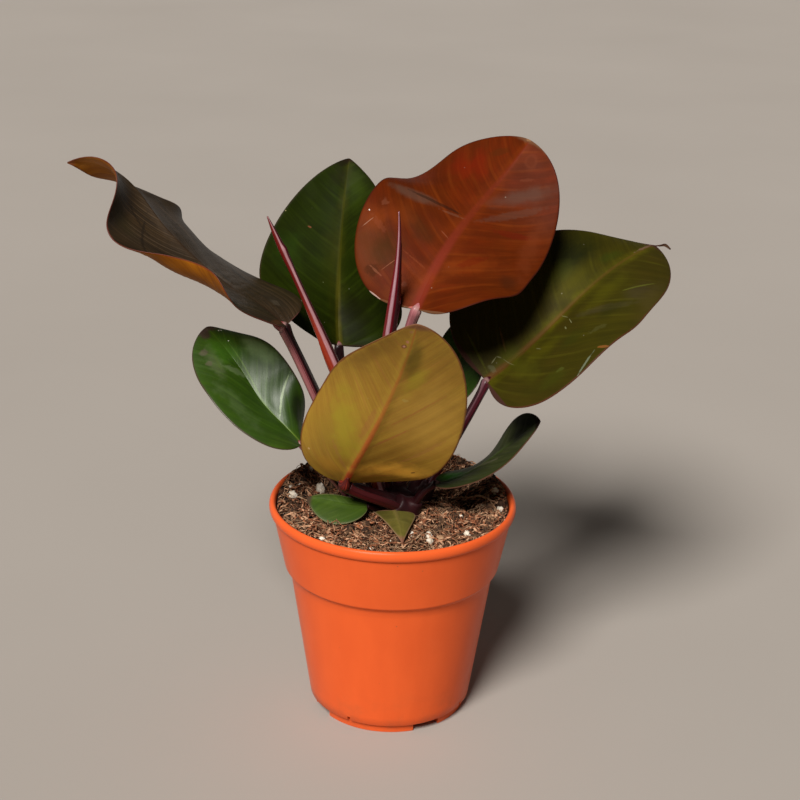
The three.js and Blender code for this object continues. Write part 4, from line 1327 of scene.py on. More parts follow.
@dataclass(frozen=True)
class StemFinish:
    """Smooth red stem skin: streaks along it, painted light on one side, painted shade on another, and a
    narrow painted highlight.

    Turns are shares of a full circle around the stem, and an edge is the cosine where the painted shade ends.
    """

    body: Colour
    dark: Colour
    painted_light: Colour
    foot: Colour
    shade: Colour = (20, 5, 8)
    painted_highlight: Colour = (236, 208, 208)
    dust: Colour = (210, 190, 180)
    rim: Colour = (168, 130, 124)
    roughness: float = 0.36
    coat: float = 0.12
    painted_light_turn: float = 0.85
    shade_turn: float = 0.25
    shade_share: float = 0.9
    shade_edge: float = 0.0
    highlight_turn: float = 0.8
    highlight_half: float = 0.03
    highlight_share: float = 0.0
    foot_length: float = 30
    painted_light_length: float = 400
    relief: float = 0.12

    def facing(self, n: Nodes, turn: Socket, about: float) -> Socket:
        """Read 1 where the surface lies at a turn and -1 on the other side of the stem."""
        return n.math("COSINE", n.times(n.minus(turn, about), math.tau))

    def build(self, name: str, collar: float = 0, joint: Colour | None = None) -> Material:
        """Make the material.

        Args:
            name: Name of the material.
            collar: Millimetres along the stem to a pale rim, if it has one.
            joint: Colour past that rim.

        Returns:
            The material.
        """
        shine = {"IOR": 1.45, "Specular IOR Level": 0.3, "Coat Weight": self.coat, "Coat Roughness": 0.22}
        material, n, shader = new_material(name, shine)
        stem = n.group(stem_group(), Around=3.0, Along=0.05)
        marks = n.group(marks_group(), Specks=0.5, Scratches=0.2, Seed=3.0)
        turn, length, fine = stem["Turn"], stem["Length"], stem["Fine"]
        far_up = n.step(length, self.painted_light_length - 14.0, self.painted_light_length + 22.0)
        # Painted light on one side, fading out above a length along the stem; below, painted shade on another
        # side and a narrow painted highlight.
        painted_light = n.step(self.facing(n, turn, self.painted_light_turn), 0.0, 0.9)
        painted_light = n.times(painted_light, n.minus(1.0, n.times(far_up, 0.85)))
        shade = n.step(self.facing(n, turn, self.shade_turn), self.shade_edge - 0.12, self.shade_edge + 0.12)
        ends = (math.cos(width * self.highlight_half * math.tau) for width in (2.2, 0.4))
        painted_highlight = n.step(self.facing(n, turn, self.highlight_turn), *ends)
        colour = n.mix(n.step(stem["Streaks"], 0.35, 0.7), self.body, self.dark)
        for other, mask, share in (
            (self.dark, far_up, 1.0),
            (self.painted_light, painted_light, 0.85),
            (self.foot, n.step(length, 8.0, self.foot_length, 1, 0), 0.8),
            (self.painted_light, n.step(fine, 0.5, 0.8), 0.2),
            (self.shade, shade, self.shade_share),
            (self.painted_highlight, n.times(painted_highlight, n.step(fine, 0.3, 0.6, 1, 0.65)), self.highlight_share),
            (self.dust, marks["Specks"], 0.4),
        ):
            colour = n.paint(colour, other, mask, share)
        if collar:
            deep_joint = n.mix(n.step(stem["Streaks"], 0.1, 0.55), joint, self.body)
            colour = n.mix(n.step(length, collar - 0.2, collar + 0.6), colour, deep_joint)
            away = n.math("ABSOLUTE", n.minus(length, collar))
            colour = n.paint(colour, self.rim, n.step(away, 0.2, 1.1, 1, 0), 0.6)
        n.feed(shader.inputs["Base Color"], colour)
        n.feed(shader.inputs["Roughness"], n.scaled(fine, 0.2, self.roughness - 0.1))
        n.bump(shader, n.plus(stem["Streaks"], n.times(fine, 0.4)), self.relief)
        return material


# In each stem finish, the third colour is painted light on one side of the stem; the shade and stripe
# colours, where given, are painted shade and a painted highlight.
STALK_FINISH = StemFinish(
    (124, 54, 60), (100, 36, 42), (182, 118, 120), (56, 12, 18), shade=(14, 4, 6),
    painted_light_turn=0.77, shade_edge=0.12, shade_share=0.95,
)
# Its body and third colour are paler all round: painted light on faces that the sun leaves in shade.
MAUVE_FINISH = StemFinish(
    (168, 104, 108), (140, 78, 84), (186, 128, 130), (64, 14, 20), shade_share=0.2, foot_length=40,
)
MAROON_FINISH = StemFinish(
    (62, 8, 22), (34, 5, 13), (78, 14, 30), (48, 7, 15), shade=(30, 4, 12), shade_share=0.3,
    painted_light_turn=0.62, painted_highlight=(150, 106, 116), highlight_turn=0.36, highlight_half=0.05, highlight_share=0.6,
)
PETIOLE_FINISH = StemFinish(
    (60, 10, 14), (38, 6, 9), (78, 16, 20), (34, 6, 9), shade_share=0.4, painted_light_turn=0.0,
    roughness=0.5, coat=0.04,
)
SPEAR_LEFT_FINISH = StemFinish(
    (128, 30, 18), (92, 14, 18), (152, 52, 27), (70, 12, 14), shade=(52, 5, 14), roughness=0.3,
    painted_light_length=105, painted_light_turn=0.6, shade_turn=0.99, shade_edge=0.72, painted_highlight=(204, 160, 166),
    highlight_turn=0.81, highlight_half=0.033, highlight_share=0.75,
)
SPEAR_CENTRE_FINISH = StemFinish(
    (108, 16, 30), (80, 10, 22), (120, 24, 30), (60, 8, 18), shade=(44, 5, 13), roughness=0.3,
    painted_light_turn=0.55, shade_turn=0.98, shade_edge=0.5, painted_highlight=(206, 170, 180), highlight_turn=0.69,
    highlight_half=0.03, highlight_share=0.8,
)
CROWN_FINISH = StemFinish(
    (50, 10, 14), (28, 6, 9), (62, 15, 20), (32, 7, 10), roughness=0.55, coat=0.0, shade_share=0,
)


@dataclass
class Growth:
    """A smooth stem line from the crown to its end."""

    foot: Pair
    end: Point
    leave: Point
    arrive: Point

    FOOT_Z = 98.0

    def at(self, t: Array) -> tuple[Array, Array]:
        """Follow the line.

        Args:
            t: Places from 0 to 1.

        Returns:
            Points and unit directions.
        """
        start = np.array([*self.foot, self.FOOT_Z])
        end = np.asarray(self.end, float)
        reach = np.linalg.norm(end - start) / 3
        second = start + unit(np.asarray(self.leave, float)) * reach
        third = end - unit(np.asarray(self.arrive, float)) * reach
        u = np.asarray(t, float)[:, None]
        points = start * (1 - u) ** 3 + 3 * second * u * (1 - u) ** 2
        points = points + 3 * third * u * u * (1 - u) + end * u**3
        slope = (second - start) * (1 - u) ** 2 + 2 * (third - second) * u * (1 - u)
        return points, unit(slope + (end - third) * u * u)


def stem_skin(
    centres: Array, ahead: Array, facing: Array, sections: Array
) -> tuple[Array, Array]:
    """Place rings of a stem around its line.

    Args:
        centres: Points of the line.
        ahead: Its directions.
        facing: The way that the section's top faces.
        sections: For each ring, offsets across and out at each side, millimetres.

    Returns:
        The points, and the turn, length and radius stored on them.
    """
    across = unit(np.cross(ahead, facing))
    out = np.cross(across, ahead)
    ring = centres[:, None, :] - across[:, None, :] * sections[..., :1] + out[:, None, :] * sections[..., 1:]
    sides = sections.shape[1]
    length = np.concatenate([[0], np.cumsum(np.linalg.norm(np.diff(centres, axis=0), axis=1))])
    turn = np.broadcast_to(np.arange(sides) / sides, ring.shape[:2])
    radius = np.linalg.norm(sections, axis=-1)
    return ring, np.stack([turn, np.broadcast_to(length[:, None], turn.shape), radius], -1)


def make_stem(name: str, rings: Array, flow: Array, skin: Material) -> Piece:
    """Make a piece from a row of rings, closed by a low cone at both ends.

    Args:
        name: Name of the piece.
        rings: The points of each ring.
        flow: The vectors stored on them.
        skin: Its material.

    Returns:
        The piece.
    """
    points, stored = (
        np.concatenate([rows.reshape(-1, 3), rows[0].mean(0)[None], rows[-1].mean(0)[None]])
        for rows in (rings, flow)
    )
    count, sides = rings.shape[:2]
    faces = grid_faces(count, sides, closed=True)
    foot, last = count * sides, (count - 1) * sides
    for j in range(sides):
        k = (j + 1) % sides
        faces.append((foot, k, j))
        faces.append((foot + 1, last + j, last + k))
    return make_piece(name, points, faces, [skin], stored={"stem_flow": stored})


@dataclass
class Stalk:
    """A leaf's stalk: round below, with a channel on the side that faces the middle of the plant."""

    leaf: Leaf
    foot: Pair
    leave: Point
    arrive: Point
    wide: float
    narrow: float
    finish: StemFinish = STALK_FINISH
    sides: int = 40
    steps: int = 70
    joint_steps: int = 14
    joint_length: float = 9.0
    joint_end_radius: float = 0.75

    def line(self) -> Growth:
        """Lay the stalk's line, which ends just before its leaf.

        Returns:
            The line.
        """
        gap = 0.5 + 0.03 * self.leaf.lobe
        end = np.asarray(self.leaf.base) - unit(np.asarray(self.arrive, float)) * gap
        return Growth(self.foot, tuple(end), self.leave, self.arrive)

    def section(self, radius: Array, channel: Array) -> Array:
        """Shape the section at each ring.

        Args:
            radius: Radius of each ring.
            channel: How much of the channel shows, from 0 to 1.

        Returns:
            Offsets across and out.
        """
        angle = circle(self.sides)
        u, v = np.cos(angle), 0.88 * np.sin(angle)
        limit = 0.5 - 0.3 * (1 - np.abs(u))
        cut = -np.logaddexp(-14 * v, -14 * limit) / 14
        height = v + (cut - v) * channel[:, None]
        ribs = 1 + 0.025 * np.cos(9 * angle) * (np.sin(angle) < 0.2)
        return np.stack([u * ribs * radius[:, None], height * ribs * radius[:, None]], -1)

    def joint(self, start: Array, ahead: Array) -> tuple[Array, Array]:
        """Run the stalk on under its leaf, as the start of the midrib.

        Args:
            start: Where the free stalk ends.
            ahead: Its direction there.

        Returns:
            Points and radii of the joint.
        """
        steps = np.arange(self.joint_steps)
        t = np.linspace(0, self.joint_length / self.leaf.length, self.joint_steps + 1)[1:]
        _, _, up = self.leaf.axes(t)
        rib = self.leaf.bend(t * self.leaf.length, np.zeros_like(t), np.ones_like(t))
        fade = 1 - (steps + 1) / self.joint_steps
        radius = self.joint_end_radius + (self.narrow - self.joint_end_radius) * fade**1.5
        under = rib - up * (radius * 0.9)[:, None]
        straight = start + ahead * 0.2 + ahead * np.linspace(0, self.joint_length, self.joint_steps)[:, None]
        share = ease(steps, -1, 5)[:, None]
        return under * share + straight * (1 - share), radius

    def build(self) -> Piece:
        """Make the stalk with its joint.

        Returns:
            The stalk.
        """
        t = np.linspace(0, 1, self.steps)
        centres, ahead = self.line().at(t)
        joint, joint_radius = self.joint(centres[-1], ahead[-1])
        centres = np.concatenate([centres, joint])
        ahead = unit(np.gradient(centres, axis=0))
        radius = np.concatenate([self.wide + (self.narrow - self.wide) * t, joint_radius])
        ring = np.arange(len(radius))
        radius = radius * (1 + 0.1 * hump(ring - self.steps + 1, 4))
        inward = unit(np.array([[-self.arrive[0], -self.arrive[1], 0.0]]))
        channel = 1 - ease(ring, self.steps - 8, self.steps + 2)
        rings, flow = stem_skin(centres, ahead, inward, self.section(radius, channel))
        name = self.leaf.name.replace("leaf_", "stalk_")
        under = UNDER.get(self.leaf.kind, UNDER[LeafKind.GREEN]).midrib
        skin = self.finish.build(f"{name}_skin", float(flow[self.steps + 1, 0, 1]), under)
        piece = make_stem(f"{name}_stem", rings, flow, skin)
        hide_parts(name)
        return piece


STALKS = (
    Stalk(LEAVES[0], (-9.8, 1), (-0.42, -0.11, 1), (-0.38, -0.03, 0.8), 4.3, 3.5),
    Stalk(LEAVES[1], (-5, 11), (-0.4, 0.04, 1), (-0.1, 0.25, 0.96), 3, 2.2),
    Stalk(LEAVES[2], (3.5, 11), (-0.03, -0.16, 1), (0.3, -0.33, 0.9), 3, 2.6, MAUVE_FINISH),
    Stalk(LEAVES[3], (11.5, 7.5), (0.38, 0.09, 1), (0.4, 0.05, 0.91), 3.2, 2.7, MAROON_FINISH),
    Stalk(LEAVES[4], (8.1, -5.4), (0.15, -0.04, 1), (-0.67, -0.18, 0.54), 4.9, 4.3, PETIOLE_FINISH),
    Stalk(LEAVES[5], (-13.5, 6), (-0.78, -0.36, 1), (-0.66, -0.1, 0.74), 2.8, 1.9),
    Stalk(LEAVES[6], (8, -5.5), (0.1, -0.1, 1), (0.92, 0, 0.38), 3.3, 2.1, PETIOLE_FINISH),
    Stalk(LEAVES[7], (8, 14.5), (0.17, 0.07, 1), (0.25, 0.45, 0.85), 2.5, 1.8),
)


@dataclass
class Spear:
    """A new leaf still rolled up: a pointed tube whose free edge winds around it."""

    name: str
    foot: Pair
    tip: Point
    leave: Point
    arrive: Point
    radii: tuple[float, ...]
    finish: StemFinish
    notch_at: float
    seam_turn: float
    sides: int = 56
    steps: int = 130
    seam_step: float = 0.13
    notch_length: float = 0.012

    def build(self) -> Piece:
        """Make the rolled leaf.

        Returns:
            The rolled leaf.
        """
        t = np.linspace(0, 1, self.steps)
        centres, ahead = Growth(self.foot, self.tip, self.leave, self.arrive).at(t)
        seam = self.seam_turn + 0.55 * ease(t, 0.3, 1.0)[:, None]
        past = ((np.arange(self.sides) / self.sides)[None, :] - seam) % 1.0
        step = self.seam_step * (1 - 0.75 * ease(t, self.notch_at, 1)[:, None])
        share = 1 - step * np.minimum(past * 1.15, 1) ** 0.8
        lip = 0.06 * hump(past, 0.035) + 0.03 * hump(1 - past, 0.03)
        share = share + lip * ease(t, 0.12, 0.3)[:, None]
        around = np.minimum(past, 1 - past)
        tooth = hump(t - self.notch_at, self.notch_length)[:, None] * hump(around, 0.1)
        gone = ease(t, self.notch_at, self.notch_at + self.notch_length)[:, None] * hump(around, 0.2)
        share = share + 0.24 * tooth - 0.3 * gone
        angle = circle(self.sides)
        radius = along(self.radii, t)[:, None, None]
        sections = np.stack([np.cos(angle) * share, np.sin(angle) * share], -1) * radius
        rings, flow = stem_skin(centres, ahead, np.array([[0.0, 1.0, 0.0]]), sections)
        piece = make_stem(f"{self.name}_roll", rings, flow, self.finish.build(f"{self.name}_skin"))
        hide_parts(self.name)
        return piece


SPEARS = (
    Spear("spear_left", (-2.6, -1.2), (-58.9, -4, 249.6), (-0.22, -0.09, 1), (-0.4, 0.04, 0.9),
          (3, 3.1, 3.2, 3.3, 3.35, 3.35, 3.15, 2.65, 2, 1.7, 2, 0.4), SPEAR_LEFT_FINISH, 0.9, 0.38),
    Spear("spear_centre", (2.2, 5.9), (0.6, -20, 257.3), (-0.44, -0.1, 1), (-0.07, -0.16, 1),
          (3, 3.1, 3.2, 3.3, 3.4, 3.4, 3.4, 3.25, 2.95, 2, 1.2, 0.4), SPEAR_CENTRE_FINISH, 0.9, 0.62),
)


@dataclass
class Crown:
    """The dark grown-together foot of all stalks: the CAD solid, melted into one smooth body."""

    voxel: float = 0.6
    rounds: int = 26
    axis: Pair = (-4.0, 1.0)
    foot_z: float = 90.0

    def build(self) -> Piece:
        """Make the crown.

        Returns:
            The crown.
        """
        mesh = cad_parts["crown"].data.copy()
        mesh.materials.clear()
        piece = new_object("crown_body", mesh)
        remesh = piece.modifiers.new("Remesh", "REMESH")
        remesh.mode = "VOXEL"
        remesh.voxel_size = self.voxel * MM
        smooth = piece.modifiers.new("Smooth", "SMOOTH")
        smooth.factor = 0.5
        smooth.iterations = self.rounds
        made = settle(piece)
        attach(piece, "root")
        x, y, z = (np.array([v.co for v in made.vertices]) / MM).T
        turn = np.arctan2(y - self.axis[1], x - self.axis[0]) / math.tau + 0.5
        store(made, "stem_flow", np.stack([turn, z - self.foot_z, np.ones_like(z)], -1))
        made.materials.append(CROWN_FINISH.build("crown_skin"))
        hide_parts("crown")
        return piece


@dataclass(frozen=True)
class PlasticFinish:
    """Satin moulded plastic with soil dust, scuffs and faint flow marks."""

    body: Colour = (230, 97, 45)
    deep: Colour = (214, 84, 38)
    dust: Colour = (120, 84, 60)
    scuff: Colour = (244, 170, 130)
    dust_height: float = 30.0
    roughness: float = 0.3
    relief: float = 0.12

    def build(self, name: str) -> Material:
        """Make the material.

        Args:
            name: Name of the material.

        Returns:
            The material.
        """
        shine = {"IOR": 1.48, "Specular IOR Level": 0.1, "Coat Weight": 0.03, "Coat Roughness": 0.2}
        material, n, shader = new_material(name, shine)
        mottle = n.group(mottle_group(), Blotch_Size=28.0, Grain_Size=0.5, Seed=11.0)
        marks = n.group(marks_group(), Specks=0.7, Scratches=0.7, Seed=12.0)
        x, y, z = n.split(n.place())
        turn = n.math("ARCTAN2", y, x)
        flow = n.noise(n.join(n.times(turn, 5.0), n.times(z, 30.0)), 1.0, 3)
        low = n.times(n.step(z, 0.0, self.dust_height * MM, 1, 0), n.step(mottle["Clouds"], 0.4, 0.8))
        colour = self.body
        for other, mask, share in (
            (self.deep, n.step(flow, 0.3, 0.7), 0.25),
            (self.deep, mottle["Blotches"], 0.15),
            (self.dust, low, 0.25),
            (self.dust, marks["Specks"], 0.55),
            (self.scuff, marks["Scratches"], 0.2),
        ):
            colour = n.paint(colour, other, mask, share)
        n.feed(shader.inputs["Base Color"], colour)
        rough = n.scaled(mottle["Clouds"], 0.18, self.roughness - 0.06)
        n.feed(shader.inputs["Roughness"], n.plus(rough, n.times(marks["Scratches"], 0.2)))
        n.bump(shader, n.plus(n.times(mottle["Grain"], 0.12), n.times(flow, 0.5)), self.relief)
        return material


class Shaping(Enum):
    """What a block does to the pot."""

    JOIN = "UNION"
    CUT = "DIFFERENCE"


@dataclass
class Pot:
    """The thin tapered plant pot: a wider band under a rolled lip, and a foot with drain gaps.

    Places on its wall are radius and height. Angles count from the front towards +X.
    """

    height: float = 108.9
    lip: float = 60.0
    band_top: Pair = (58.2, 103.5)
    band_foot: Pair = (52.7, 76.0)
    shoulder: Pair = (50.4, 73.5)
    wall_top: Pair = (49.6, 70.0)
    wall_foot: Pair = (40.2, 4.8)
    wall: float = 1.3
    floor: float = 1.6
    foot_radius: float = 38.2
    foot_height: float = 3.8
    segments: int = 256
    gap_angles: tuple[float, ...] = (29, 119, 209, 299)
    gap_width: float = 14.0
    gap_inner: float = 26.0
    gap_height: float = 3.5
    roof: float = 1.3
    slot_angles: tuple[float, ...] = (61, 151, 241, 331)
    slot_width: float = 1.6
    slot_low: float = 3.9
    slot_height: float = 2.8
    curl_half: Pair = (1.65, 2.7)
    sharp_angle: float = 38.0
    finish: PlasticFinish = PlasticFinish()

    def profile(self) -> Array:
        """Draw the wall's section from under the floor, up the outside and down the inside.

        Returns:
            Radius and height of each point.
        """
        foot, top = self.foot_radius, self.foot_height
        rise = np.linspace(0, 1, 16)[1:-1, None]
        wall_foot, wall_top, band_foot, band_top = map(
            np.array, (self.wall_foot, self.wall_top, self.band_foot, self.band_top)
        )
        curl = np.radians(np.linspace(-75, 180, 22))[:, None]
        middle = np.array([self.lip - 1.7, self.height - 2.75])
        under = [(0.02, 0), (12, 0), (24, 0), (34, 0)]
        foot_edge = [
            (foot - 0.5, 0), (foot - 0.1, 0.15), (foot, 0.5), (foot, top - 0.5), (foot + 0.25, top - 0.1),
        ]
        wall_edge = [(39.5, 4.35), (self.wall_foot[0] - 0.2, 4.6), self.wall_foot]
        step = [
            (49.5, 69.4), self.wall_top, (49.75, 70.6), (50.2, 72.9), self.shoulder, (50.9, 74.1),
            (52.2, 75.4), (52.6, 75.8), self.band_foot, (52.82, 76.6),
        ]
        neck = [(58.15, 103.1), self.band_top, (58.6, 103.65)]
        inner = [
            (self.band_top[0], self.band_top[1] + 1), self.band_foot, self.shoulder, self.wall_top,
            (self.wall_foot[0], self.wall_foot[1] + self.wall), (foot, top + self.wall), (foot, self.floor),
        ]
        return np.concatenate([
            under, foot_edge, wall_edge, wall_foot + rise * (wall_top - wall_foot), step,
            band_foot + rise[1:] * (band_top - band_foot), neck,
            middle + np.concatenate([np.cos(curl), np.sin(curl)], 1) * self.curl_half,
            np.array(inner) - (self.wall, 0), [(20, self.floor), (0.02, self.floor)],
        ])

    def shell(self) -> tuple[Array, Faces]:
        """Turn the section around the axis.

        Returns:
            Points and faces.
        """
        profile = self.profile()
        angle = circle(self.segments)
        warp = 1 + 0.0012 * np.cos(2 * angle + 0.6) + 0.0006 * np.cos(3 * angle + 2)
        radius = profile[:, :1] * warp
        height = profile[:, 1:] * np.ones_like(radius)
        points = np.stack([radius * np.cos(angle), radius * np.sin(angle), height], -1)
        return points.reshape(-1, 3), drum_faces(len(profile), self.segments)

    def block(self, angle: float, inner: float, outer: float, width: float, low: float, high: float) -> Piece:
        """Make a plain block that runs outward from the axis, to join or cut.

        Args:
            angle: Its direction.
            inner: Where it starts.
            outer: Where it ends.
            width: Its width.
            low: Height of its underside.
            high: Height of its top.

        Returns:
            The block, which is removed after use.
        """
        made = bmesh.new()
        bmesh.ops.create_cube(made, size=1)
        size = Matrix.Diagonal((outer - inner, width, high - low, 1))
        place = Matrix.Translation(((inner + outer) / 2, 0, (low + high) / 2))
        turn = Matrix.Rotation(math.radians(angle - 90), 4, "Z")
        made.transform(Matrix.Scale(MM, 4) @ turn @ place @ size)
        mesh = bpy.data.meshes.new("block")
        made.to_mesh(mesh)
        made.free()
        return new_object("block", mesh)

    def build(self) -> Piece:
        """Make the pot.

        Returns:
            The pot.
        """
        points, faces = self.shell()
        piece = make_piece("pot_shell", points, faces, [self.finish.build("pot_plastic")])
        roof_width, roof_top = self.gap_width + 2 * self.roof, self.gap_height + self.roof
        roof = (self.gap_inner - self.roof, self.foot_radius - 1, roof_width, 0.2, roof_top)
        gap = (self.gap_inner, self.lip, self.gap_width, -1, self.gap_height)
        slot_top = self.slot_low + self.slot_height
        slot = (self.foot_radius - 3, self.lip, self.slot_width, self.slot_low, slot_top)
        blocks = []
        for shaping, angles, sizes in (
            (Shaping.JOIN, self.gap_angles, roof),
            (Shaping.CUT, self.gap_angles, gap),
            (Shaping.CUT, self.slot_angles, slot),
        ):
            for angle in angles:
                blocks.append(self.block(angle, *sizes))
                job = piece.modifiers.new("Block", "BOOLEAN")
                job.operation = shaping.value
                job.solver = "EXACT"
                job.object = blocks[-1]
        settle(piece).set_sharp_from_angle(angle=math.radians(self.sharp_angle))
        for block in blocks:
            bpy.data.objects.remove(block)
        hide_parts("pot")
        return piece


@dataclass(frozen=True)
class EarthFinish:
    """Dry peat, coir or mineral grain, rough all over."""

    body: Colour
    dark: Colour
    light: Colour
    size: float = 3.0
    depth: float = 0.5

    def build(self, name: str) -> Material:
        """Make the material.

        Args:
            name: Name of the material.

        Returns:
            The material.
        """
        material, n, shader = new_material(name, {"IOR": 1.4, "Specular IOR Level": 0.3})
        mottle = n.group(mottle_group(), Blotch_Size=self.size, Grain_Size=self.size / 8, Seed=5.0)
        near, kind = n.spots(n.place(), 1 / MM / self.size)
        colour = n.mix(mottle["Blotches"], self.body, self.dark)
        colour = n.paint(colour, self.light, n.step(kind, 0.5, 0.95), 0.7)
        colour = n.paint(colour, self.dark, n.step(mottle["Grain"], 0.45, 0.7), 0.4)
        n.feed(shader.inputs["Base Color"], colour)
        n.feed(shader.inputs["Roughness"], n.scaled(mottle["Clouds"], 0.2, 0.75))
        n.bump(shader, n.plus(mottle["Grain"], n.times(near, -0.6)), self.depth)
        return material


BED_FINISH = EarthFinish((46, 31, 22), (12, 8, 6), (104, 74, 52), 2.4, 0.6)
CRUMB_FINISH = EarthFinish((84, 60, 44), (40, 27, 20), (132, 98, 70), 1.2, 0.25)
FIBRE_FINISH = EarthFinish((150, 104, 74), (78, 50, 36), (200, 156, 120), 3, 0.05)
COIR_FINISH = EarthFinish((158, 100, 68), (50, 26, 18), (232, 186, 148), 1.8, 0.08)
PALE_FIBRE_FINISH = EarthFinish((176, 140, 108), (128, 96, 70), (206, 176, 144), 5, 0.05)
SEED_FINISH = EarthFinish((196, 110, 54), (150, 76, 38), (216, 140, 80), 2, 0.1)
PERLITE_FINISH = EarthFinish((238, 228, 210), (206, 192, 170), (250, 244, 232), 1.6, 0.25)


@dataclass
class Soil:
    """Coir and peat filling with fibres, crumbs and perlite on its lumpy top."""

    level: float = 102.0
    heap: float = 8.6
    radius: float = 56.3
    rings: int = 110
    segments: int = 300
    crumbs: int = 1500
    clods: int = 170
    fibres: int = 2600
    thick_fibres: int = 1050
    hairs: int = 420
    perlite: int = 30
    seed: int = 21

    # The crown's middle and half sizes, and the dip in the soil with its width and depth.
    CROWN = ((-3.0, 1.5), (17.0, 9.0))
    PIT = ((35.0, 5.0), 5.0, 4.0)
    # The filling's side against the pot's wall, as radius and height.
    SKIRT = ((36.3, 5.1), (38.6, 6.2), (48.0, 70.0), (48.8, 73.5), (51.1, 76.0), (56.2, 100.5))
    # Grains that stand out: place and radius.
    GRAINS = (
        (-35.7, 13.2, 3.4), (-46.1, 14.2, 1.5), (-50.3, 10.2, 1.4), (-49.0, 5.0, 1.9), (-41.4, 27.1, 1.5),
        (9.0, -27.5, 1.4), (17.5, -28.3, 1.9), (17.9, -36.3, 2.1), (35.3, -26.3, 1.7), (50.1, 7.8, 1.6),
        (52.2, -5.0, 1.6), (-9.5, -43.2, 1.5), (-32.6, -34.7, 1.5),
    )
    SEED_GRAIN = ((-16.4, -22.3, 1.4),)
    CHIP = ((23.1, -31.9, 1.8),)
    # Long strands that stand out: radius, then places with the height above the soil.
    STRANDS = (
        (0.5, (26.9, 15.4, 0.5), (32.4, 11.0, 3.6), (39.0, 6.0, 5.2), (46.4, -0.6, 3.4), (51.0, -6.0, 0.4)),
        (0.42, (7.6, -41.5, 0.6), (10.4, -36.0, 1.4), (13.3, -29.1, 1.5), (16.2, -22.7, 0.8)),
        (0.34, (-52.0, 9.0, 0.8), (-46.0, 3.0, 2.4), (-38.0, 0.0, 1.6), (-31.0, 4.0, 0.7)),
    )

    def __post_init__(self) -> None:
        """Start the random draws."""
        self.random = np.random.default_rng(self.seed)

    def heights(self, xy: Array) -> Array:
        """Give the height of the soil's top.

        Args:
            xy: Places, millimetres.

        Returns:
            Heights, millimetres.
        """
        flat = np.concatenate([xy, np.zeros_like(xy[..., :1])], -1)
        lumps = 1.5 * grain(flat, 14, self.seed, 2) + 1.1 * grain(flat, 4.2, self.seed + 1, 3)
        away = np.linalg.norm(xy, axis=-1)
        back = xy[..., 1] / np.maximum(away, 1e-6)
        heap = self.heap * ease(away, 34, 54) * ease(back, -0.45, 0.5)
        place, width, depth = self.PIT
        pit = hump(np.linalg.norm(xy - np.asarray(place), axis=-1), width)
        return self.level + heap + lumps * (1 - 0.5 * ease(away, 50, 57)) - depth * pit

    def bed(self) -> Piece:
        """Make the lumpy filling down to the pot's floor.

        Returns:
            The filling.
        """
        share = np.linspace(0.002, 1, self.rings)
        angle = circle(self.segments)
        radius = self.radius * share[::-1, None]
        xy = np.stack([radius * np.cos(angle), radius * np.sin(angle)], -1)
        top = np.concatenate([xy, self.heights(xy)[..., None]], -1)
        ring = np.stack([np.cos(angle), np.sin(angle), np.ones_like(angle)], -1)
        grid = np.concatenate([[ring * (r, r, z) for r, z in self.SKIRT], top])
        faces = drum_faces(len(grid), self.segments)
        piece = make_piece("soil_bed", grid.reshape(-1, 3), faces, [BED_FINISH.build("soil_peat")])
        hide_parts("soil")
        return piece

    def spread(self, count: int, rim: float) -> Array:
        """Scatter places evenly over the soil's top, outside the crown.

        Args:
            count: How many.
            rim: Width of the bare strip along the pot's wall.

        Returns:
            Places, millimetres.
        """
        angle = self.random.uniform(0, math.tau, count)
        away = (self.radius - rim) * np.sqrt(self.random.uniform(0, 1, count))
        xy = np.stack([away * np.cos(angle), away * np.sin(angle)], -1)
        middle, half = self.CROWN
        inside = ((xy - middle) / half) ** 2
        push = np.maximum(1 / np.sqrt(np.maximum(inside.sum(-1), 0.05)), 1.0)
        return np.asarray(middle) + (xy - middle) * push[:, None]

    def lumps(
        self, name: str, places: Array, sizes: Array, level: int,
        sink: float, material: Material,
    ) -> Piece:
        """Make one piece of many small rough lumps lying on the soil.

        Args:
            name: Name of the piece.
            places: Where they lie.
            sizes: Their radii.
            level: How finely each is cut.
            sink: Share of the radius that lies in the soil.
            material: Their material.

        Returns:
            The piece.
        """
        made = bmesh.new()
        bmesh.ops.create_icosphere(made, subdivisions=level, radius=1)
        ball = np.array([v.co for v in made.verts])
        triangles = np.array([[v.index for v in f.verts] for f in made.faces])
        made.free()
        heights = self.heights(places)
        points, faces = [], []
        for i, (xy, size) in enumerate(zip(places, sizes)):
            angle = self.random.uniform(0, math.tau)
            turn = np.array(Matrix.Rotation(angle, 3, Vector(self.random.normal(size=3)).normalized()))
            squeeze = self.random.uniform(0.55, 1.3, 3)
            rough = 1 + 0.34 * grain(ball * 1.7 + i * 3.1, 1.0, 2, 2)[:, None]
            lump = (ball * rough * squeeze) @ turn.T * size
            points.append(lump + (xy[0], xy[1], heights[i] + size * (1 - 2 * sink)))
            faces.append(triangles + i * len(ball))
        piece = make_piece(name, np.concatenate(points), np.concatenate(faces).tolist(), [material])
        return piece

    def strands(
        self, name: str, lines: list[Array], radii: list[float], material: Material, sides: int = 3
    ) -> Piece:
        """Make one piece of many thin bent strands.

        Args:
            name: Name of the piece.
            lines: Points along each strand.
            radii: Radius of each strand.
            material: Their material.
            sides: Sides of their section.

        Returns:
            The piece.
        """
        angle = circle(sides)[None, :, None]
        points, faces, start = [], [], 0
        for line, radius in zip(lines, radii):
            ahead = unit(np.gradient(line, axis=0))
            across = unit(np.cross(ahead, np.array([0.13, 0.21, 0.97])))
            out = np.cross(across, ahead)
            count = len(line)
            slim = np.sqrt(np.clip(np.sin(np.pi * (np.arange(count) + 0.6) / (count + 0.2)), 0.05, 1))
            round_ring = across[:, None] * np.cos(angle) + out[:, None] * np.sin(angle)
            points.append((line[:, None] + (radius * slim)[:, None, None] * round_ring).reshape(-1, 3))
            faces += [face[::-1] for face in drum_faces(count, sides, start)]
            start += count * sides
        return make_piece(name, np.concatenate(points), faces, [material])

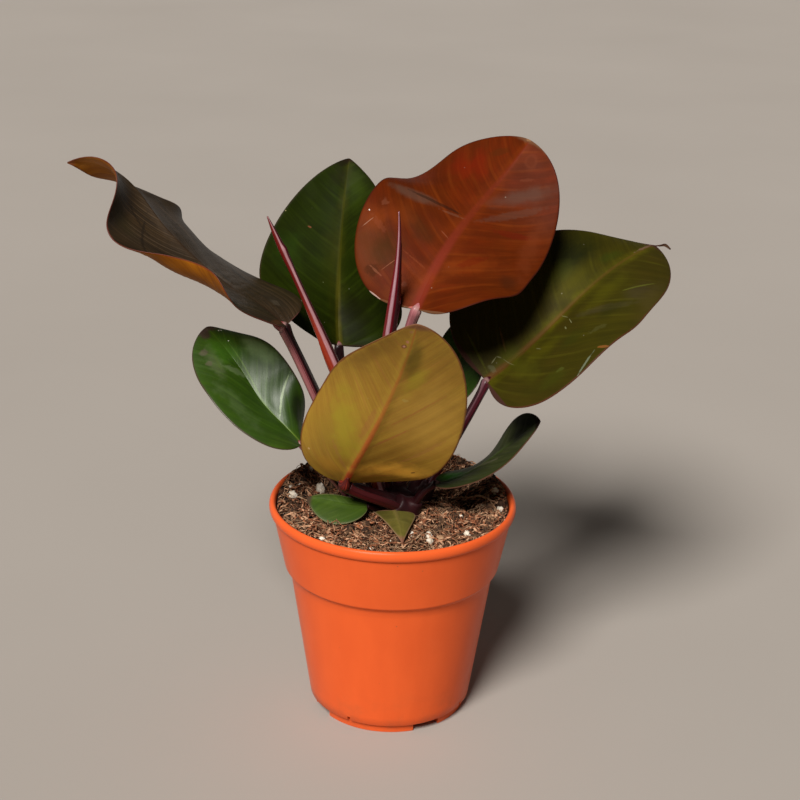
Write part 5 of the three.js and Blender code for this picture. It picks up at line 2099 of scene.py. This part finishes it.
    def curls(
        self, count: int, rim: float, length: Pair, radius: Pair, lift: float,
        bend: float = 0.32,
    ) -> tuple[list[Array], list[float]]:
        """Draw bent fibres that lie on the soil.

        Args:
            count: How many.
            rim: Width of the bare strip along the pot's wall.
            length: Shortest and longest.
            radius: Thinnest and thickest.
            lift: How far their middles rise from the soil.
            bend: How sharply they wind, radians at each step.

        Returns:
            Their lines and radii.
        """
        lines = []
        for xy in self.spread(count, rim):
            span = self.random.uniform(*length)
            steps = 7 if span < 16 else 13
            heading = self.random.uniform(0, math.tau) + np.cumsum(self.random.normal(0, bend, steps))
            walk = np.cumsum(np.stack([np.cos(heading), np.sin(heading)], -1) * span / steps, 0)
            flat = xy + walk - walk[steps // 2]
            away = np.linalg.norm(flat, axis=1)
            flat = flat * np.minimum(1, (self.radius - 0.5) / np.maximum(away, 1e-6))[:, None]
            arch = np.sin(np.pi * np.linspace(0.05, 0.95, steps)) * self.random.uniform(-0.1, 1) * lift
            tilt = np.linspace(-1, 1, steps) * self.random.normal(0, 0.35) * lift
            height = self.heights(flat) + arch + tilt + self.random.uniform(0, 0.4)
            lines.append(np.concatenate([flat, height[:, None]], -1))
        return lines, list(self.random.uniform(*radius, count))

    def named(self) -> list[Piece]:
        """Lay the grains, the seed, the chip and the long strands that stand out.

        Returns:
            The pieces.
        """
        chip = PALE_FIBRE_FINISH.build("bark_chip")
        pieces = []
        for name, grains, sink, material in (
            ("soil_grains", self.GRAINS, 0.25, PERLITE_FINISH.build("perlite")),
            ("soil_seed", self.SEED_GRAIN, 0.2, SEED_FINISH.build("seed_coat")),
            ("soil_chip", self.CHIP, 0.3, chip),
        ):
            rows = np.array(grains)
            pieces.append(self.lumps(name, rows[:, :2], rows[:, 2], 3, sink, material))
        lines, radii = [], []
        for radius, *places in self.STRANDS:
            line = along(tuple(places), np.linspace(0, 1, 24))
            line[:, 2] += self.heights(line[:, :2])
            lines.append(line)
            radii.append(radius)
        return [*pieces, self.strands("soil_strands", lines, radii, chip, 6)]

    def build(self) -> list[Piece]:
        """Make the soil and all that lies on it.

        Returns:
            The pieces.
        """
        pieces = [self.bed()]
        crumb = CRUMB_FINISH.build("soil_crumb")
        places = self.spread(self.crumbs, 1.2)
        sizes = self.random.uniform(0.35, 1.0, len(places)) ** 1.3
        pieces.append(self.lumps("soil_crumbs", places, sizes, 1, 0.2, crumb))
        places = self.spread(self.clods, 3)
        sizes = self.random.uniform(1.0, 2.4, len(places))
        pieces.append(self.lumps("soil_lumps", places, sizes, 2, 0.4, crumb))
        lines, radii = self.curls(self.fibres, 1, (3.5, 13), (0.09, 0.26), 1.2)
        pieces.append(self.strands("soil_fibres", lines, radii, FIBRE_FINISH.build("coir_fibre")))
        lines, radii = self.curls(self.thick_fibres, 1.5, (5, 18), (0.24, 0.58), 2.2, 0.5)
        pieces.append(self.strands("soil_coir", lines, radii, COIR_FINISH.build("thick_coir"), 4))
        lines, radii = self.curls(self.hairs, 2, (7, 24), (0.07, 0.2), 2.8)
        pieces.append(self.strands("soil_hairs", lines, radii, PALE_FIBRE_FINISH.build("coir_hair")))
        places = self.spread(self.perlite, 4)
        sizes = self.random.uniform(0.5, 1.2, len(places))
        grit = PERLITE_FINISH.build("fine_perlite")
        pieces.append(self.lumps("soil_perlite", places, sizes, 2, 0.35, grit))
        return [*pieces, *self.named()]


@dataclass
class Studio:
    """Pale floor, soft light and the camera."""

    sight: Sight = SIGHT
    floor_half: float = 6000.0
    floor_steps: int = 24
    floor_dark: Colour = (160, 153, 146)
    floor_pale: Colour = (168, 161, 154)
    key_power: float = 4.6
    key_spread: float = 22.0
    key_turn: float = -22.0
    key_rise: float = 47.0
    key_tone: Point = (1.0, 0.965, 0.92)
    sky_tone: Point = (1.0, 0.94, 0.87)
    back_grey: float = 0.33
    dim_grey: float = 0.07

    def floor(self) -> None:
        """Lay the floor, which isn't part of the plant."""
        half = self.floor_half * MM
        side = np.linspace(-half, half, self.floor_steps + 1)
        x, y = np.meshgrid(side, side)
        mesh = bpy.data.meshes.new("floor")
        points = np.stack([x, y, np.zeros_like(x)], -1).reshape(-1, 3)
        mesh.from_pydata(points.tolist(), [], grid_faces(len(side), len(side)))
        material, n, shader = new_material("floor_paint", {"Specular IOR Level": 0.2})
        cloud = n.noise(n.place(), 3.0, 4, 0.5)
        n.feed(shader.inputs["Base Color"], n.mix(cloud, self.floor_dark, self.floor_pale))
        n.feed(shader.inputs["Roughness"], n.scaled(cloud, 0.1, 0.75))
        mesh.materials.append(material)
        new_object("floor", mesh)

    def sun(self) -> None:
        """Hang the main light, broad and even, high on the left in front."""
        data = bpy.data.lights.new("key", "SUN")
        data.energy = self.key_power
        data.angle = math.radians(self.key_spread)
        data.color = self.key_tone
        turn, rise = math.radians(self.key_turn), math.radians(self.key_rise)
        towards = Vector((math.sin(turn) * math.cos(rise), -math.cos(turn) * math.cos(rise), math.sin(rise)))
        new_object("key", data).rotation_euler = (-towards).to_track_quat("-Z", "Y").to_euler()

    def sky(self) -> None:
        """Surround the plant with a grey that is palest low behind it and nearly dark elsewhere."""
        world = bpy.data.worlds.new("studio")
        world.use_nodes = True
        n = Nodes(world.node_tree)
        _, back, up = n.split(n.add("ShaderNodeTexCoord").outputs["Generated"])
        behind_low = n.times(n.step(back, -0.1, 0.7), n.step(up, 0.1, 0.42, 1, 0))
        pale = n.scaled(behind_low, self.back_grey, self.dim_grey)
        background = world.node_tree.nodes["Background"]
        n.feed(background.inputs["Color"], n.join(*(n.times(pale, tone) for tone in self.sky_tone)))
        bpy.context.scene.world = world

    def camera(self) -> None:
        """Set the camera at the photograph's angle."""
        data = bpy.data.cameras.new("camera")
        sight = self.sight
        data.lens = sight.lens
        data.sensor_width = sight.sensor
        data.clip_start, data.clip_end = 0.01, 50
        camera = new_object("camera", data)
        down = math.radians(sight.elevation)
        back = Vector((0, -math.cos(down), math.sin(down))) * sight.distance
        tilt, roll = math.radians(90) - down, math.radians(sight.roll)
        turn = Matrix.Rotation(tilt, 4, "X") @ Matrix.Rotation(roll, 4, "Z")
        camera.matrix_world = Matrix.Translation((Vector(sight.aim) + back) * MM) @ turn
        bpy.context.scene.camera = camera

    def build(self) -> None:
        """Set up the floor, light, sky and camera."""
        self.floor()
        self.sun()
        self.sky()
        self.camera()
        bpy.context.scene.view_settings.view_transform = "Standard"


def main() -> None:
    """Build the plant, dress it and set up the studio."""
    logging.basicConfig(level=logging.INFO, format="%(message)s")
    pieces = [Pot().build(), *Soil().build(), Crown().build()]
    pieces += [part.build() for part in (*STALKS, *SPEARS, *LEAVES)]
    for piece in pieces:
        LOG.info("%s: %d faces", piece.name, len(piece.data.polygons))
    Studio().build()


if __name__ == "__main__":
    main()
